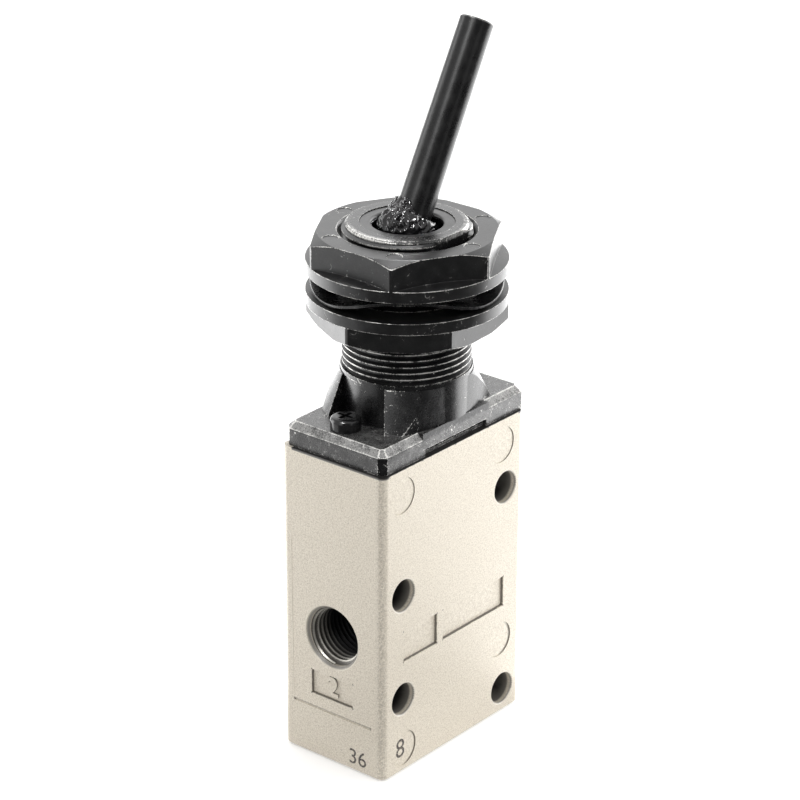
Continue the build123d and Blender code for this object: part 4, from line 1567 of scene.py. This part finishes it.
@dataclass
class Studio:
    """Camera at the photograph's angle, soft lamps, a pale floor and a white surround."""

    target: Place = (0.0, 0.0, 45.0)
    azimuth_deg: float = -50.525
    elevation_deg: float = 23.418
    roll_deg: float = 0.183
    distance: float = 471.096
    slide_right: float = -0.622
    slide_up: float = 10.180
    focal_px: float = 3039.3
    image_px: float = 800.0
    sensor_mm: float = 36.0
    floor_size: float = 6.0
    surround: float = 0.48
    card_reach: float = 0.85
    sector_start: float = 0.024
    sector_end: float = 1.3
    cards: tuple[Card, ...] = (
        Card("dark_standing_card", 226.0, 1.1, 0.84, 0.05, 0.0),
        Card("dark_side_card", 300.0, 0.98, 0.5, 0.05, 0.0),
        Card("bright_side_card", 353.0, 0.69, 0.45, 0.8, 4.0),
    )
    lamps: tuple[Lamp, ...] = (
        Lamp("key", (0.35, -1.10, 0.75), (0.9, 0.9), 5.8, gloss=False),
        Lamp("fill", (-1.10, -0.35, 0.60), (0.7, 0.7), 2.0),
        Lamp("back_sheet", (0.55, 0.46, 0.66), (1.5, 1.0), 5.2),
        Lamp("right_box", (0.80, -0.50, 0.26), (0.6, 0.6), 3.6, gloss=False),
        Lamp("left_box", (-0.36, 0.95, 0.24), (0.5, 0.5), 3.0),
        Lamp("back_spark", (0.30, 0.25, 0.95), (0.14, 0.14), 7.0, diffuse=False),
        Lamp("left_spark", (-0.62, -0.12, 0.85), (0.14, 0.14), 7.0, diffuse=False),
    )

    def build_camera(self) -> None:
        """Sets the camera that was fitted to the photograph."""
        a, e, roll = (math.radians(v) for v in (self.azimuth_deg, self.elevation_deg, self.roll_deg))
        back = Vector((math.sin(a) * math.cos(e), -math.cos(a) * math.cos(e), math.sin(e)))
        level = (-back).cross(Vector((0.0, 0.0, 1.0))).normalized()
        upright = level.cross(-back)
        right = level * math.cos(roll) + upright * math.sin(roll)
        up = upright * math.cos(roll) - level * math.sin(roll)
        place = Vector(self.target) + back * self.distance
        place += right * self.slide_right + up * self.slide_up
        camera = bpy.data.cameras.new("product_camera")
        camera.sensor_width = self.sensor_mm
        camera.lens = self.focal_px / self.image_px * self.sensor_mm
        camera.clip_start = 0.01
        camera.clip_end = 100.0
        holder = add_object("product_camera", camera)
        turn = Matrix((right, up, back)).transposed().to_4x4()
        holder.matrix_world = Matrix.Translation(place * MM) @ turn
        bpy.context.scene.camera = holder

    @staticmethod
    def build_lamp(lamp: Lamp) -> None:
        """Hangs one lamp that looks at the valve.

        Args:
            lamp: the lamp.
        """
        light = bpy.data.lights.new(lamp.name, "AREA")
        light.shape = "RECTANGLE"
        light.size, light.size_y = lamp.size
        light.energy = lamp.power
        holder = add_object(lamp.name, light)
        holder.location = lamp.spot
        look = Vector((0.0, 0.0, 0.06)) - Vector(lamp.spot)
        holder.rotation_euler = look.to_track_quat("-Z", "Y").to_euler()
        holder.visible_camera = False
        holder.visible_glossy = lamp.gloss
        holder.visible_diffuse = lamp.diffuse

    def build_world(self) -> None:
        """Surrounds the valve with soft light that the camera and the gloss see as white."""
        world = bpy.data.worlds.new("surround")
        world.use_nodes = True
        nodes = Nodes(world.node_tree)
        strength = nodes.value(
            "ShaderNodeMapRange", {}, {"Value": nodes.seen(), "To Min": self.surround, "To Max": 1.0}
        )
        light = nodes.node(
            "ShaderNodeBackground", {}, {"Color": (1.0, 1.0, 1.0), "Strength": strength}
        )
        nodes.node("ShaderNodeOutputWorld", {}, {"Surface": light.outputs[0]})
        bpy.context.scene.world = world

    def build_card(self, card: Card) -> None:
        """Stands a card upright before the valve.

        Args:
            card: the card.
        """
        place = Matrix.Rotation(math.radians(card.toward_deg), 4, "Z")
        place = place @ Matrix.Translation((self.card_reach, 0.0, card.height / 2.0))
        place = place @ Matrix.Rotation(math.radians(-90.0), 4, "Y")
        scale = Matrix.Diagonal((card.height, card.width, 1.0, 1.0))
        bm = bmesh.new()
        bmesh.ops.create_grid(bm, x_segments=1, y_segments=1, size=0.5, matrix=place @ scale)
        self.stage_card(card.name, bm, card.shade, card.glow)

    @staticmethod
    def stage_card(name: str, bm: bmesh.types.BMesh, shade: float, glow: float) -> None:
        """Turns a card's mesh into an object that only gloss sees.

        Args:
            name: name of the card.
            bm: its mesh, which is used up.
            shade: its own grey.
            glow: light that it gives off.
        """
        card = add_object(name, mesh_of(name, bm))
        card.visible_camera = card.visible_diffuse = card.visible_shadow = False
        shader = Shader(name)
        felt = shader.grain(2.0, 2.0)
        card.data.materials.append(shader.dress(
            Base_Color=shader.blend((shade,) * 3, (shade * 1.4,) * 3, felt), Roughness=0.95,
            Emission_Color=(1.0, 1.0, 1.0), Emission_Strength=glow,
        ))

    def build_sector(self, name: str, span: Span, shade: float, glow: float) -> None:
        """Lays a card on the floor that spans a sector round the valve.

        Args:
            name: name of the card.
            span: the azimuths that it starts and ends at, in degrees.
            shade: its own grey.
            glow: light that it gives off.
        """
        bm = bmesh.new()
        count = max(2, round((span[1] - span[0]) / 5.0))
        rows = []
        start, end = (math.radians(side) for side in span)
        inner, outer = (arc(reach, start, end, count) for reach in (self.sector_start, self.sector_end))
        for corners in zip(inner, outer):
            rows.append([bm.verts.new((*corner, 0.001)) for corner in corners])
        for (near, far), (next_near, next_far) in zip(rows, rows[1:]):
            bm.faces.new((near, far, next_far, next_near))
        self.stage_card(name, bm, shade, glow)

    def build_cards(self) -> None:
        """Keeps the blacks deep with dark cards, and lights their far sides with bright ones."""
        self.build_sector("dark_floor_card", (166.0, 315.0), 0.05, 0.0)
        self.build_sector("bright_floor_card", (-45.0, 128.0), 0.8, 3.4)
        for card in self.cards:
            self.build_card(card)

    def build_floor(self) -> None:
        """Lays a pale floor that keeps the valve's shadow."""
        bm = bmesh.new()
        bmesh.ops.create_grid(bm, x_segments=1, y_segments=1, size=self.floor_size)
        floor = add_object("floor", mesh_of("floor", bm))
        floor.location.z = -0.0002
        shader = Shader("pale_floor")
        lift = shader.node("ShaderNodeEmission", {}, {"Color": (1.0, 1.0, 1.0), "Strength": 0.33})
        black = shader.node("ShaderNodeEmission", {}, {"Color": (0.0, 0.0, 0.0), "Strength": 0.0})
        mix = {0: shader.seen(), 1: black.outputs[0], 2: lift.outputs[0]}
        shown = shader.node("ShaderNodeMixShader", {}, mix)
        pair = {0: shader.surface.outputs[0], 1: shown.outputs[0]}
        both = shader.node("ShaderNodeAddShader", {}, pair)
        output = next(node for node in shader.tree.nodes if node.type == "OUTPUT_MATERIAL")
        shader.feed(output.inputs["Surface"], both.outputs[0])
        paper = shader.grain(1.2, 3.0)
        floor.data.materials.append(shader.dress(
            Base_Color=shader.blend((0.89, 0.89, 0.89), (0.92, 0.92, 0.92), paper), Roughness=0.9,
        ))

    def build(self) -> None:
        """Sets up camera, lamps, surround and floor."""
        self.build_camera()
        self.build_world()
        self.build_floor()
        self.build_cards()
        for lamp in self.lamps:
            self.build_lamp(lamp)
        bpy.context.scene.view_settings.view_transform = "Standard"


def main() -> None:
    """Builds the valve's pieces and the studio in order."""
    logging.basicConfig(level=logging.INFO, format="%(relativeCreated)6d ms  %(message)s")
    Studio().build()
    CastBody().build(CastFinish().material(), PortFinish().material(), InkFinish().material())
    black = BlackFinish(
        "black_housing", worn_mm=0.14, worn_bias=0.25, broken=1.1, shine=0.95, flecked=1.0,
        scratched=1.0, roughness=0.27,
    ).material()
    neck = BlackFinish(
        "black_thread", worn_mm=0.09, broken=0.9, flecked=0.0, scratched=0.0, roughness=0.32,
    ).material()
    screw = BlackFinish(
        "gloss_black_screw", worn_bias=-0.2, shine=0.4, flecked=0.1, scratched=0.0, roughness=0.18,
    ).material()
    ring = BlackFinish("black_ring", worn_bias=-0.1, shine=0.5, flecked=0.3, scratched=0.3).material()
    BlackHousing().build(black, neck, screw, ring)
    nut = BlackFinish(
        "black_nut", worn_mm=0.12, worn_bias=0.62, broken=0.75, shine=0.75, flecked=0.6,
        scratched=0.4,
    ).material()
    washer = BlackFinish(
        "black_washer", worn_mm=0.10, worn_bias=0.2, shine=0.4, flecked=0.1, scratched=0.1,
        roughness=0.28,
    ).material()
    PanelNuts().build(nut, washer)
    rod = BlackFinish(
        "black_lever", worn_bias=0.1, shine=0.5, flecked=0.2, scratched=0.2, roughness=0.30,
        relief_mm=0.015, gloss=0.33,
    ).material()
    ToggleLever().build(rod, RubberFinish("wet_boot_rubber", roughness=0.12, wrinkle_mm=1.1).material())
    InnerParts().build()


if __name__ == "__main__":
    main()
